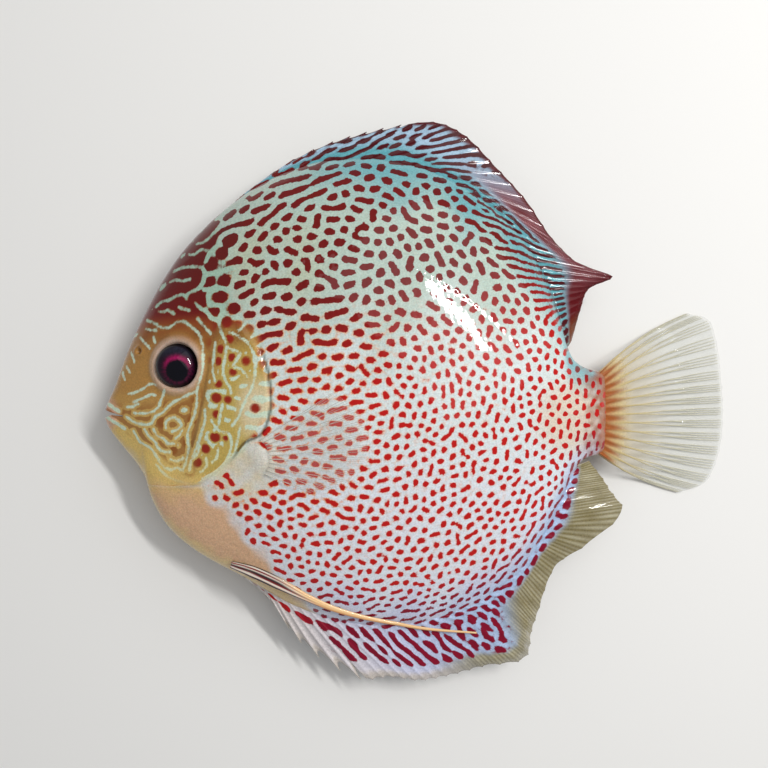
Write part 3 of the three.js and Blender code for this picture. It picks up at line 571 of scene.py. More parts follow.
def pale_colour(x, y):
    """The skin between the marks."""
    x, y = np.asarray(x, float), np.asarray(y, float)
    uneven = ragged(x, y, 14, 3)
    tone = mix(evenly(BELLY_WHITE, x), FLANK_WHITE, smooth(-25, 0, y))
    tone = mix(tone, BACK_MINT, smooth(2, 30, y - 0.12 * x + 5 * uneven))
    tone = mix(tone, SHOULDER_OLIVE, 0.6 * near(x, y, -32, 30, 3, 15) * (0.6 + 0.4 * uneven))
    rim, low = below_back(x, y), above_belly(x, y)
    tone = mix(tone, BACK_TURQUOISE, 0.85 * smooth(16, 2, rim + 3 * uneven) * smooth(-38, -12, x))
    tone = mix(tone, ANAL_LAVENDER, 0.8 * smooth(13, 2, low + 2.5 * uneven) * smooth(-34, -12, x))
    blue = smooth(9, 1, low) * smooth(0, 14, x) * smooth(40, 26, x)
    tone = mix(tone, ANAL_BLUE, blue * (0.6 + 0.4 * uneven))
    tone = mix(tone, SHOULDER_CREAM, near(x, y, -40, -14, 4, 11) * (0.7 + 0.3 * ragged(x, y, 4, 12)))
    tone = mix(tone, STALK_CREAM, near(x, y, 32, -3, 4, 12) * 0.8)
    brown = smooth(34, 38, x + 0.9 * ragged(x, y, 3, 14))
    tone = mix(tone, STALK_BROWN, brown * (0.5 + 0.3 * ragged(x, y, 2.5, 9)))
    tone = mix(tone, TAIL_ROOT, smooth(38, 40.5, x + 0.5 * ragged(x, y, 2, 17)) * 0.8)
    tone = mix(tone, throat_colour(x, y), breast_share(x, y))
    lines = mix(evenly(NAPE_MINT, x), CHEEK_MINT, smooth(22, 12, y))
    lines = mix(lines, THROAT_MINT, smooth(-8, -14, y))
    lines = mix(lines, throat_colour(x, y), smooth(-15, -17.6, y + 0.4 * uneven))
    return mix(tone, lines, head_share(x, y))


HALO_ORANGE, BROW_BROWN = linear("DE8A4C"), linear("7E4518")
HEAD_OCHRE, CHEEK_OCHRE = linear("AE8040"), linear("C8A65E")
NAPE_RED, EYE_RING, COVER_OLIVE = linear("6C200E"), linear("CBB2A2"), linear("BBA252")
LIP_PINK = linear("D3A18C")


def mark_colour(x, y):
    """The outer part of each mark: an orange glow on the body, the ochre skin itself on the head."""
    x, y = np.asarray(x, float), np.asarray(y, float)
    tone = mix(evenly(HEAD_OCHRE, x), CHEEK_OCHRE, smooth(4, -6, y))
    tone = mix(tone, COVER_OLIVE, smooth(-48.5, -44, x - 0.2 * y) * smooth(22, 12, y) * 0.85)
    rear_rim = near(x, y, -35.5, -1, 2, 9) * smooth(-42, -38, x)
    tone = mix(tone, SHOULDER_CREAM, 0.85 * rear_rim)
    tone = mix(tone, BROW_BROWN, smooth(8, 17, y) * (0.75 + 0.25 * ragged(x, y, 5, 6)))
    tone = mix(tone, NAPE_RED, smooth(17, 26, y - 0.3 * (x + 52)))
    socket = near(x, y, EYE_X, EYE_Y, 4.9, 7.0) * (0.8 + 0.2 * ragged(x, y, 3, 13))
    tone = mix(tone, EYE_RING, socket)
    bare = np.maximum(smooth(-6, -12, y + 0.6 * (x + 62)), smooth(-14, -17, y))
    tone = mix(tone, throat_colour(x, y), bare)
    tone = mix(tone, LIP_PINK, near(x, y, -72, -2.6, 2.2, 5) * 0.8)
    return mix(evenly(HALO_ORANGE, x), tone, head_share(x, y))


def mark_share(x, y):
    """How strongly the outer part of a mark shows: full on the head, faint on the flank."""
    band = 0.42 * smooth(28, 10, y) * smooth(-46, -30, y) * smooth(32, 10, x)
    rows_behind_gill = 0.5 * smooth(-2, -24, x) * smooth(24, 12, y) * smooth(-30, -20, y)
    return np.maximum(band + rows_behind_gill, smooth(0.2, 0.6, head_share(x, y)))


SPOT_MAROON, SPOT_DARK_RED = linear("46020A"), linear("6A0400")
SPOT_RED, SPOT_CRIMSON = linear("B40A04"), linear("7E0424")
NAPE_SPOT, CHEEK_PATCH, COVER_SPOT = linear("5E0A04"), linear("8E5420"), linear("8E2008")


def core_colour(x, y):
    """The heart of each mark."""
    x, y = np.asarray(x, float), np.asarray(y, float)
    tone = mix(evenly(SPOT_RED, x), SPOT_DARK_RED, smooth(2, 30, y - 0.25 * x))
    tone = mix(tone, SPOT_MAROON, smooth(9, -1, below_back(x, y)) * smooth(-38, -18, x))
    tone = mix(tone, SPOT_CRIMSON, smooth(12, 3, above_belly(x, y)) * smooth(-38, -20, x))
    tone = mix(tone, NAPE_SPOT, smooth(16, 30, y) * smooth(-37, -44, x))
    cheek = head_share(x, y) * smooth(20, 14, y)
    tone = mix(tone, COVER_SPOT, cheek)
    return mix(tone, CHEEK_PATCH, cheek * smooth(-46.5, -49.5, x - 0.15 * y))


def core_inset(x, y):
    """How far inside a mark's edge its heart begins (mm), and how strongly the heart shows."""
    cheek = head_share(x, y) * smooth(20, 13, y)
    inset = 0.04 + 0.42 * cheek
    calm = np.maximum(near(x, y, EYE_X, EYE_Y, 6.2, 8.6), smooth(-8, -11, above_jaw(x, y)))
    calm = np.maximum(calm, smooth(-56, -60, x) * smooth(16, 12, y) * smooth(-2, 2, y))
    dots = np.zeros(len(x))
    for px, py, radius in HEAD_SPOTS:
        dots = np.maximum(dots, near(x, y, px, py, radius - 0.2, radius + 0.5))
    cover = cheek * smooth(-49.5, -46.5, x - 0.15 * y)
    hidden = np.clip(calm + 0.25 * cheek * (1 - dots) + cover * (1 - dots), 0, 1)
    return inset - 0.2 * dots * cheek, 1 - head_share(x, y) * hidden


# The skin: head, gill covers, trunk and tail stalk under one unbroken surface, as in life. It is a
# grid of rings, close together on the head, with the gill covers, eye sockets, nostrils and lateral
# line raised or sunk in it, and the mouth cut out between rolled lips.
GRID_HEAD, GRID_BODY = 0.29, 0.52
LEFT_POINTS, RIGHT_POINTS = 226, 66
COVER_RISE, COVER_STEP = 0.5, 0.45
SOCKET_RADIUS, SOCKET_DEPTH = 4.75, 2.4
RIM_RADIUS, RIM_WIDTH, RIM_HEIGHT = 5.5, 0.95, 0.6
NOSTRIL_X, NOSTRIL_Y = -63.4, 11.4
MOUTH = [(-75, -0.6), (-75, -4.4), (-70.4, -2.75), (-67.4, -3.1), (-67.4, -2.85), (-70.4, -2.2)]
UPPER_LIP = {"y": -0.7, "front": -71.5, "corner": -67.4, "half": 2.7, "radius": 1.15, "drop": -1.3}
LOWER_LIP = {"y": -4.5, "front": -71.7, "corner": -67.6, "half": 2.6, "radius": 1.35, "drop": 0.9}
MOUND_X, MOUND_Y, MOUND_RISE = -34.8, -10.9, 1.05
MOUND_WHITE = linear("DCD8CC")
LATERAL_LINE = [
    (-40, 20), (-33, 27), (-24, 31), (-12, 31), (0, 27.5), (12, 20), (22, 10), (27, 2), (31, -2),
    (38, -2.6),
]


def signed_side(x, y, line):
    """Distance to a line of (x, y) places, positive on its right as it runs."""
    best = np.full(np.shape(x), 1e9)
    sign = np.ones(np.shape(x))
    for (x0, y0), (x1, y1) in zip(line[:-1], line[1:]):
        dx, dy = x1 - x0, y1 - y0
        t = np.clip(((x - x0) * dx + (y - y0) * dy) / (dx * dx + dy * dy), 0, 1)
        away = np.hypot(x - x0 - t * dx, y - y0 - t * dy)
        cross = (x - x0) * dy - (y - y0) * dx
        closer = away < best
        best = np.where(closer, away, best)
        sign = np.where(closer, np.sign(cross), sign)
    return best * sign


gill_curve = catmull(GILL_LINE, np.linspace(0, 1, 90))
cover_curve = catmull(COVER_FRONT, np.linspace(0, 1, 30))
lateral_curve = catmull(LATERAL_LINE, np.linspace(0, 1, 60))


def relief(x, y):
    """How far the skin stands out from the plain body form."""
    front = signed_side(x, y, cover_curve)
    tall = smooth(19.5, 15, y) * smooth(-19.5, -16.5, y)
    step = smooth(0.0, COVER_STEP, signed_side(x, y, gill_curve))
    cover = COVER_RISE * step * smooth(-1.5, 2.2, front) * tall
    from_eye = np.hypot(x - EYE_X, y - EYE_Y)
    rim = RIM_HEIGHT * np.exp(-(((from_eye - RIM_RADIUS) / RIM_WIDTH) ** 2))
    socket = SOCKET_DEPTH * smooth(SOCKET_RADIUS + 0.35, SOCKET_RADIUS - 0.8, from_eye)
    pit = 0.9 * near(x, y, NOSTRIL_X, NOSTRIL_Y, 0.2, 0.85)
    pit_rim = 0.18 * np.exp(-(((np.hypot(x - NOSTRIL_X, y - NOSTRIL_Y) - 1.05) / 0.35) ** 2))
    pores = 0.09 * np.exp(-((signed_side(x, y, lateral_curve) / 0.55) ** 2)) * (1 + 0.7 * np.sin(x * 4.2))
    mound = MOUND_RISE * np.exp(-(((x - MOUND_X) / 3.2) ** 2) - ((y - MOUND_Y) / 3.8) ** 2)
    return cover * (1 - mound / 2) + rim - socket - pit + pit_rim + pores + mound


def station_places():
    """Stations along the body, close together on the head and where the outline is steep."""
    fine = np.linspace(SNOUT_X, ROOT_X, 4001)
    rise = np.maximum(np.abs(np.gradient(back(fine), fine)), np.abs(np.gradient(belly(fine), fine)))
    step = GRID_HEAD + (GRID_BODY - GRID_HEAD) * smooth(-46, -28, fine)
    density = np.sqrt(1 + 0.3 * np.minimum(rise, 4) ** 2) / step
    total = np.concatenate([[0], np.cumsum((density[1:] + density[:-1]) / 2 * np.diff(fine))])
    return np.interp(np.linspace(0, total[-1], int(total[-1]) + 1), total, fine)


def ring_angles(x, count, side):
    """Angles from the belly edge to the back edge on one side, even along the skin."""
    theta = np.linspace(-math.pi / 2, math.pi / 2, 721)
    s = np.sin(theta)
    reach = np.where(s > 0, back(x) - ridge(x), ridge(x) - belly(x))
    full = np.where(s > 0, upper_fullness(x), lower_fullness(x))
    out = half(x) * np.cos(theta) ** (2 * full)
    arc = np.concatenate([[0], np.cumsum(np.hypot(np.diff(reach * s), np.diff(out)))])
    share = np.linspace(0, 1, count + 1)[:-1]
    if side > 0:
        return np.interp(share * arc[-1], arc, theta)
    # The side that lies down has fewer points, crowded towards the outline, where it is seen
    crowded = 0.35 * share + 0.65 * (0.5 - 0.5 * np.cos(math.pi * share))
    return np.interp((1 - crowded) * arc[-1], arc, theta)


def skin_grid():
    """Points of the skin as rings, and each point's side-view place on the chart."""
    rings, charts = [], []
    for x in station_places():
        points, places_on_chart = [], []
        for side, count in ((1, LEFT_POINTS), (-1, RIGHT_POINTS)):
            theta = ring_angles(x, count, side)
            s = np.sin(theta)
            reach = np.where(s > 0, back(x) - ridge(x), ridge(x) - belly(x))
            full = np.where(s > 0, upper_fullness(x), lower_fullness(x))
            y = ridge(x) + reach * s
            out = side * half(x) * np.abs(np.cos(theta)) ** (2 * full)
            xs = np.full(len(y), x)
            points.append(np.column_stack([xs, y, middle(xs, y) + out]))
            places_on_chart.append(np.column_stack([xs, y]))
        rings.append(np.vstack(points))
        charts.append(np.vstack(places_on_chart))
    return np.array(rings), np.array(charts)


rings, charts = skin_grid()
ring_count, ring_size = rings.shape[:2]
# Push the relief out along the surface's own normals
along_x = np.gradient(rings, axis=0)
round_it = np.roll(rings, -1, axis=1) - np.roll(rings, 1, axis=1)
normals = np.cross(round_it, along_x)
normals /= np.maximum(np.linalg.norm(normals, axis=2, keepdims=True), 1e-9)
outward = np.sign(np.sum(normals[ring_count // 2, ring_size // 4] * (0, 0, 1)))
side_x, side_y = charts[..., 0], charts[..., 1]
edge_fade = smooth(0, 3, np.minimum(back(side_x) - side_y, side_y - belly(side_x)))
bump_out = relief(side_x, side_y) * (0.25 + 0.75 * edge_fade)
skin_points = rings + normals * outward * bump_out[..., None]
skin_points[..., 2] = np.maximum(skin_points[..., 2], 0.0)


def metres(points):
    """Places in mm of the side view as places in metres of the frame."""
    return (np.asarray(points, float) + SHIFT) * MM


def grid_faces(first, second):
    """Quads of a grid of points that is closed round its second way."""
    i, j = np.meshgrid(np.arange(first - 1), np.arange(second), indexing="ij")
    k = (j + 1) % second
    quads = np.stack([i * second + j, i * second + k, (i + 1) * second + k, (i + 1) * second + j], -1)
    return quads.reshape(-1, 4)


def mesh_object(name, points, faces, turned=False):
    """A new object from points in mm and faces, smooth and with its place in its mesh."""
    mesh = bpy.data.meshes.new(name)
    if turned:
        faces = [tuple(reversed(face)) for face in faces]
    mesh.from_pydata(metres(points).tolist(), [], [tuple(map(int, face)) for face in faces])
    mesh.validate()
    mesh.shade_smooth()
    made = bpy.data.objects.new(name, mesh)
    bpy.context.scene.collection.objects.link(made)
    return made


def closed_rings(name, ring_points):
    """A closed object from rings of points that all run the same way round."""
    count, size = ring_points.shape[:2]
    points = ring_points.reshape(-1, 3)
    faces = grid_faces(count, size).tolist()
    ends = [ring_points[0].mean(0), ring_points[-1].mean(0)]
    start, last = len(points), (count - 1) * size
    faces += [(k, j, start) for j in range(size) for k in [(j + 1) % size]]
    faces += [(last + j, last + k, start + 1) for j in range(size) for k in [(j + 1) % size]]
    made = mesh_object(name, np.vstack([points, ends]), faces)
    turn_out(made)
    return made


def turn_out(made):
    """Makes a closed mesh's faces point outwards."""
    shape = bmesh.new()
    shape.from_mesh(made.data)
    bmesh.ops.recalc_face_normals(shape, faces=shape.faces)
    if shape.calc_volume(signed=True) < 0:
        bmesh.ops.reverse_faces(shape, faces=shape.faces)
    shape.to_mesh(made.data)
    shape.free()


def lip_rings(lip):
    """A round bead bent round the snout from one corner of the mouth to the other."""
    a = np.linspace(-0.5, 0.5, 49) * math.pi
    x = lip["corner"] + (lip["front"] - lip["corner"]) * np.cos(a)
    across = lip["half"] * np.sin(a)
    fall = lip["drop"] * (1 - np.cos(a))
    size = lip["radius"] * (0.55 + 0.45 * np.cos(a))
    b = np.linspace(0, 2 * math.pi, 25)[:-1]
    push = size[:, None] * np.cos(b)
    px = (x + 0.6 * size)[:, None] - np.cos(a)[:, None] * push
    py = (lip["y"] + fall)[:, None] + size[:, None] * np.sin(b)
    pz = (middle(x, lip["y"]) + 1.12 * across)[:, None] + np.sin(a)[:, None] * push
    return np.stack([px, py, pz], -1)


def upright_prism(name, outline, low, high):
    """A closed prism over an outline of (x, y) corners."""
    count = len(outline)
    points = [(x, y, z) for z in (low, high) for x, y in outline]
    faces = [tuple(range(count)), tuple(range(2 * count - 1, count - 1, -1))]
    faces += [(j, (j + 1) % count, count + (j + 1) % count, count + j) for j in range(count)]
    made = mesh_object(name, points, faces)
    turn_out(made)
    return made


def combine(target, tool, operation):
    """Joins or cuts two closed meshes and removes the tool."""
    modifier = target.modifiers.new("join", "BOOLEAN")
    modifier.operation = operation
    modifier.solver = "MANIFOLD"
    modifier.object = tool
    graph = bpy.context.evaluated_depsgraph_get()
    result = bpy.data.meshes.new_from_object(target.evaluated_get(graph))
    target.modifiers.clear()
    old = target.data
    target.data = result
    bpy.data.meshes.remove(old)
    bpy.data.objects.remove(tool, do_unlink=True)


skin = closed_rings("skin", skin_points)
combine(skin, upright_prism("mouth_cut", MOUTH, 0, 30), "DIFFERENCE")
for lip in (UPPER_LIP, LOWER_LIP):
    bead = closed_rings("bead", lip_rings(lip))
    combine(bead, upright_prism("mouth_gap", MOUTH, 0, 30), "DIFFERENCE")
    combine(skin, bead, "UNION")


def points_of(made):
    """A mesh's points in mm of the side view."""
    flat = np.empty(3 * len(made.data.vertices))
    made.data.vertices.foreach_get("co", flat)
    return flat.reshape(-1, 3) / MM - SHIFT


def soften(made, chosen, times):
    """Evens out the chosen points of a mesh between their neighbours."""
    points = points_of(made)
    edges = np.empty(2 * len(made.data.edges), int)
    made.data.edges.foreach_get("vertices", edges)
    edges = edges.reshape(-1, 2)
    share = chosen(points)[:, None]
    for _ in range(times):
        total = np.zeros_like(points)
        count = np.zeros(len(points))
        for a, b in ((0, 1), (1, 0)):
            np.add.at(total, edges[:, a], points[edges[:, b]])
            np.add.at(count, edges[:, a], 1)
        points += share * 0.5 * (total / np.maximum(count, 1)[:, None] - points)
    made.data.vertices.foreach_set("co", metres(points).ravel())
    made.data.update()


soften(skin, lambda p: smooth(-65.5, -67.5, p[:, 0]), 3)
skin.data.shade_smooth()


def set_fields(made, **fields):
    """Keeps numbers or colours for each point of a mesh, by name."""
    for name, values in fields.items():
        values = np.asarray(values, float)
        coloured = values.ndim == 2
        if coloured:
            values = np.column_stack([values, np.ones(len(values))])
        field = made.data.attributes.new(name, "FLOAT_COLOR" if coloured else "FLOAT", "POINT")
        field.data.foreach_set("color" if coloured else "value", values.ravel())


skin_xy = points_of(skin)
sx, sy = skin_xy[:, 0], skin_xy[:, 1]
mound = near(sx, sy, MOUND_X, MOUND_Y, 1.0, 5.2)
skin_inset, skin_heart = core_inset(sx, sy)
# Painted shade: darker skin in the slit under the rear edge of each gill cover, and along the fold in front
# of the cover
gill_edge = np.abs(signed_side(sx, sy, gill_curve) + 0.25)
slit = smooth(0.5, 0.1, gill_edge) * smooth(14, 8, sy) * smooth(-14, -9, sy)
fold = smooth(0.5, 0.1, np.abs(signed_side(sx, sy, cover_curve)))
set_fields(
    skin, pale=mix(pale_colour(sx, sy), MOUND_WHITE, 0.75 * mound), mark=mark_colour(sx, sy),
    core=core_colour(sx, sy), depth=read_chart(pigment_depth, sx, sy), inset=skin_inset, heart=skin_heart,
    mark_share=mark_share(sx, sy), head=head_share(sx, sy),
    shade=1 - 0.75 * slit - 0.28 * fold * smooth(12, 6, sy) * smooth(-13, -9, sy),
)


def add(tree, kind, inputs=None, **settings):
    """Adds a node with its settings, and values or links for its inputs by name or number."""
    made = tree.nodes.new(kind)
    for name, value in settings.items():
        setattr(made, name, value)
    for key, value in (inputs or {}).items():
        socket = made.inputs[key]
        if isinstance(value, bpy.types.NodeSocket):
            tree.links.new(value, socket)
        else:
            socket.default_value = value
    return made


def new_material(name):
    """A material and its empty tree."""
    material = bpy.data.materials.new(name)
    material.use_nodes = True
    tree = material.node_tree
    tree.nodes.clear()
    return material, tree


def marked_skin(tree, place, spread):
    """Colour of marked skin: pale ground, then the mark's outer tone, then its heart."""

    def field(name, kind="Fac"):
        return add(tree, "ShaderNodeAttribute", attribute_name=name).outputs[kind]

    # Ragged edges, as pigment follows the scales: patches 0.7 mm across move an edge by up to spread mm
    wander = add(tree, "ShaderNodeTexNoise", {"Vector": place, "Scale": 1400.0, "Detail": 2.0})
    shift = add(tree, "ShaderNodeMapRange", {0: wander.outputs["Fac"], 3: -spread, 4: spread})
    edge = add(tree, "ShaderNodeMath", {0: field("depth"), 1: shift.outputs[0]}, operation="ADD")
    soft = {"interpolation_type": "SMOOTHSTEP"}
    outer = add(tree, "ShaderNodeMapRange", {0: edge.outputs[0], 1: -0.3, 2: 0.06}, **soft)
    outer = add(tree, "ShaderNodeMath", {0: outer.outputs[0], 1: field("mark_share")}, operation="MULTIPLY")
    inner = add(tree, "ShaderNodeMath", {0: edge.outputs[0], 1: field("inset")}, operation="SUBTRACT")
    heart = add(tree, "ShaderNodeMapRange", {0: inner.outputs[0], 1: -0.08, 2: 0.1}, **soft)
    heart = add(tree, "ShaderNodeMath", {0: heart.outputs[0], 1: field("heart")}, operation="MULTIPLY")
    # Mottling of the ground, finer than a spot
    fleck = add(tree, "ShaderNodeTexNoise", {
        "Vector": place, "Scale": 2600.0, "Detail": 3.0, "Roughness": 0.6,
    })
    grain = add(tree, "ShaderNodeMapRange", {0: fleck.outputs["Fac"], 1: 0.3, 2: 0.7, 3: 0.8, 4: 1.12})
    tone = add(tree, "ShaderNodeMix", {
        0: outer.outputs[0], 6: field("pale", "Color"), 7: field("mark", "Color"),
    }, data_type="RGBA")
    flecked = add(tree, "ShaderNodeVectorMath", {
        0: tone.outputs[2], 1: grain.outputs[0],
    }, operation="MULTIPLY")
    colour = add(tree, "ShaderNodeMix", {
        0: heart.outputs[0], 6: flecked.outputs[0], 7: field("core", "Color"),
    }, data_type="RGBA")
    return colour.outputs[2], heart.outputs[0], fleck.outputs["Fac"]


SKIN_IOR, WATER_IOR = 1.38, 1.34


def wet_skin():
    """Fish skin: pigment under clear mucus, so that colours are deep and lights mirror sharply."""
    material, tree = new_material("wet_fish_skin")
    place = add(tree, "ShaderNodeTexCoord").outputs["Object"]
    marked, _, _ = marked_skin(tree, place, 0.32)
    head = add(tree, "ShaderNodeAttribute", attribute_name="head").outputs["Fac"]
    shade = add(tree, "ShaderNodeAttribute", attribute_name="shade").outputs["Fac"]
    # Painted shade from the shade field darkens the gill slits and the folds before the covers
    colour = add(tree, "ShaderNodeVectorMath", {0: marked, 1: shade}, operation="MULTIPLY")
    # Scales 1.3 mm across, hardly raised under the mucus, and hardly any on the head
    scales = add(tree, "ShaderNodeTexVoronoi", {
        "Vector": place, "Scale": 760.0, "Randomness": 0.35,
    }, feature="SMOOTH_F1")
    scaly = add(tree, "ShaderNodeMapRange", {0: head, 1: 0.0, 2: 1.0, 3: 0.3, 4: 0.05})
    ripple = add(tree, "ShaderNodeTexNoise", {"Vector": place, "Scale": 420.0, "Detail": 3.0})
    raised = add(tree, "ShaderNodeBump", {
        "Strength": scaly.outputs[0], "Distance": 0.0004, "Height": scales.outputs["Distance"],
    })
    uneven = add(tree, "ShaderNodeBump", {
        "Strength": 0.15, "Distance": 0.0004, "Height": ripple.outputs["Fac"], "Normal": raised.outputs[0],
    })
    film = add(tree, "ShaderNodeBump", {
        "Strength": 0.06, "Distance": 0.0004, "Height": scales.outputs["Distance"],
    })
    surface = add(tree, "ShaderNodeBsdfPrincipled", {
        "Base Color": colour.outputs[0], "Roughness": 0.36, "IOR": SKIN_IOR, "Specular IOR Level": 0.1,
        "Coat Weight": 1.0, "Coat Roughness": 0.04, "Coat IOR": SKIN_IOR, "Subsurface Weight": 0.05,
        "Subsurface Scale": 0.0012, "Normal": uneven.outputs[0], "Coat Normal": film.outputs[0],
    })
    add(tree, "ShaderNodeOutputMaterial", {"Surface": surface.outputs[0]})
    return material


skin_finish = wet_skin()
skin.data.materials.clear()
skin.data.materials.append(skin_finish)
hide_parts("head", "trunk", "tail_stalk", "gill_cover_left", "gill_cover_right")
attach(skin, "root")

# Eyes: clear wet balls in sockets of the head, each one solid, with a blue-black pupil low in a plum
# iris, a bright crimson ring round the pupil and a painted grey-blue reflection above it.
EYE_RADIUS, EYE_DEPTH, EYE_RISE = 4.9, 3.0, 1.8
PUPIL_X, PUPIL_Y, PUPIL_RADIUS = 0.35, -1.1, 2.3
IRIS_RING = 0.75
PUPIL_BLACK, IRIS_CRIMSON, IRIS_PLUM = linear("04030C"), linear("8C0D4A"), linear("1C0618")
# The first of these is a painted grey-blue reflection over the upper iris
IRIS_PAINTED_REFLECTION, IRIS_EDGE = linear("20222F"), linear("0C040A")


def eye_points(side):
    """A flattened ball round the eye's own axis, as rings from its back to its front."""
    polar = np.linspace(math.pi, 0, 50)[1:-1]
    turn = np.linspace(0, 2 * math.pi, 97)[:-1]
    flat = middle(EYE_X, EYE_Y) + side * (half_at(EYE_X, EYE_Y) + EYE_RISE - EYE_DEPTH)
    x = EYE_X + EYE_RADIUS * np.sin(polar)[:, None] * np.cos(turn)
    y = EYE_Y + EYE_RADIUS * np.sin(polar)[:, None] * np.sin(turn)
    z = flat + side * EYE_DEPTH * np.cos(polar)[:, None] * np.ones_like(turn)
    return np.stack([x, y, z], -1)


def eye_colour(x, y):
    """The eye's colours as seen through the cornea, at places of the side view."""
    dx, dy = x - EYE_X, y - EYE_Y
    from_pupil = np.hypot(dx - PUPIL_X, dy - PUPIL_Y)
    angle = np.arctan2(dy - PUPIL_Y, dx - PUPIL_X)
    fibre = 0.5 + 0.5 * np.sin(38 * angle + 3 * np.sin(9 * angle))
    # Painted reflection: grey-blue over the upper part of the iris
    tone = mix(evenly(IRIS_PLUM, x), IRIS_PAINTED_REFLECTION, smooth(1.0, 3.4, dy) * (0.6 + 0.3 * fibre))
    tone = mix(tone, IRIS_CRIMSON, 0.22 * fibre * smooth(4.2, 2.6, from_pupil))
    over = 0.06 + 0.94 * smooth(-0.1, 0.9, np.sin(angle))
    wide = IRIS_RING * (0.55 + 0.75 * smooth(-0.4, 0.9, np.sin(angle)))
    ring = np.exp(-(((from_pupil - PUPIL_RADIUS - 0.5 * wide) / (0.55 * wide)) ** 2))
    tone = mix(tone, IRIS_CRIMSON, ring * over)
    tone = mix(tone, PUPIL_BLACK, smooth(PUPIL_RADIUS + 0.15, PUPIL_RADIUS - 0.1, from_pupil))
    return mix(tone, IRIS_EDGE, smooth(3.7, 4.5, np.hypot(dx, dy)))


def wet_eye():
    """Cornea over iris: as clear and smooth as water, so it mirrors the lamps as small hard spots."""
    material, tree = new_material("wet_eye")
    iris = add(tree, "ShaderNodeAttribute", attribute_name="iris").outputs["Color"]
    place = add(tree, "ShaderNodeTexCoord").outputs["Object"]
    fleck = add(tree, "ShaderNodeTexNoise", {"Vector": place, "Scale": 1800.0, "Detail": 3.0})
    shade = add(tree, "ShaderNodeMapRange", {0: fleck.outputs["Fac"], 1: 0.3, 2: 0.7, 3: 0.7, 4: 1.25})
    flecked = add(tree, "ShaderNodeVectorMath", {0: iris, 1: shade.outputs[0]}, operation="MULTIPLY")
    surface = add(tree, "ShaderNodeBsdfPrincipled", {
        "Base Color": flecked.outputs[0], "Roughness": 0.45, "IOR": SKIN_IOR, "Specular IOR Level": 0.0,
        "Coat Weight": 0.9, "Coat Roughness": 0.02, "Coat IOR": WATER_IOR,
    })
    add(tree, "ShaderNodeOutputMaterial", {"Surface": surface.outputs[0]})
    return material


eye_finish = wet_eye()
for name, side in (("left", 1), ("right", -1)):
    eye = closed_rings(f"eyeball_{name}", eye_points(side))
    eye.data.materials.append(eye_finish)
    eye_xy = points_of(eye)
    set_fields(eye, iris=eye_colour(eye_xy[:, 0], eye_xy[:, 1]))
    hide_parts(f"eye_{name}")
    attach(eye, "root")

# Fins: a web of thin skin spread over bony rays. The hard spines at the front end in free points,
# the soft rays fork towards the edge and are jointed all along. Web and rays read the same chart.
DORSAL = {
    "keys": DORSAL_KEYS, "lean": DORSAL_LEAN, "rays": DORSAL_RAYS, "spines": 9, "root": 0.8, "edge": 0.2,
    "ridge": 0.18, "sunk": 2.6, "notch": 0.1, "droop": 1.6, "bow": 0.0, "per_lane": 8, "rows_out": 36,
    "node": "dorsal_fin",
}
ANAL = {
    "keys": ANAL_KEYS, "lean": ANAL_LEAN, "rays": ANAL_RAYS, "spines": 8, "root": 0.8, "edge": 0.2,
    "ridge": 0.2, "sunk": 2.6, "notch": 0.2, "droop": 1.6, "bow": 0.0, "per_lane": 8, "rows_out": 44,
    "node": "anal_fin",
}
CAUDAL = {
    "keys": [
        (40, 6.2, 63.5, 21.2), (40.4, 4.6, 68.4, 19.6), (40.6, 2.8, 70.6, 13), (40.7, 1, 71.4, 6.4),
        (40.8, -1, 71.8, 1.5), (40.8, -3.4, 71.9, -3.2), (40.7, -5.8, 71.6, -8.5), (40.6, -7.8, 70.4, -14),
        (40.4, -9.6, 67.6, -19.4), (40, -11.2, 61.5, -21.8),
    ],
    "lean": UPRIGHT, "rays": 16, "spines": 0, "root": 1.1, "edge": 0.18, "ridge": 0.15, "sunk": 2.4,
    "notch": 0.03, "bow": 1.5, "rest": 0.62, "rests_from": 0.72, "slope": -0.28, "per_lane": 10,
    "rows_out": 40, "node": "caudal_fin",
}
PECTORAL_KEYS = [
    (-35.4, -7.6, -19.5, 2.6), (-34.2, -8.6, -14.6, -1.6), (-33.6, -10, -12.6, -6.4),
    (-33.4, -11.6, -13.4, -11.6), (-33.6, -13.2, -17.4, -16.4), (-34.4, -14.8, -24.8, -18.6),
]
PECTORAL_BASE = (-35, -11.4)
PECTORAL_TURN_RIGHT = -42
PECTORAL_CLEAR, PECTORAL_LIFT, PECTORAL_REST = 0.75, 1.9, 0.75


def drooping(fin):
    """The height of a fin that sinks towards its edge under its own weight."""

    def height(x, y, out, root):
        return middle(root[:, 0], root[:, 1]) - fin["droop"] * out**1.5

    return height


def tail_height(x, y, out, root):
    """The tail fin bends down from the stalk and rests on the floor for its last part."""
    t = np.minimum(out / CAUDAL["rests_from"], 1)
    reach = (x - ROOT_X) / np.maximum(out, 0.05)
    start = CAUDAL["slope"] * reach * CAUDAL["rests_from"]
    down = 3 * t * t - 2 * t**3
    return middle(ROOT_X, y) * (1 - down) + CAUDAL["rest"] * down + start * t * (1 - t) ** 2


def pectoral_height(side):
    """The upper pectoral fin lifts off the flank, and the lower one lies between flank and floor."""

    def height(x, y, out, root):
        surface = middle(x, y) + side * half_at(x, y)
        if side > 0:
            return surface + PECTORAL_CLEAR + PECTORAL_LIFT * out**1.5
        return np.maximum(surface - PECTORAL_CLEAR, PECTORAL_REST)

    return height


def turned(keys, centre, degrees):
    """Key rays turned about a centre, in the side view."""
    ca, sa = math.cos(math.radians(degrees)), math.sin(math.radians(degrees))
    ends = np.array(keys, float).reshape(-1, 2) - centre
    return (ends @ np.array([[ca, sa], [-sa, ca]]) + centre).reshape(-1, 4)


DORSAL["height"], ANAL["height"], CAUDAL["height"] = drooping(DORSAL), drooping(ANAL), tail_height


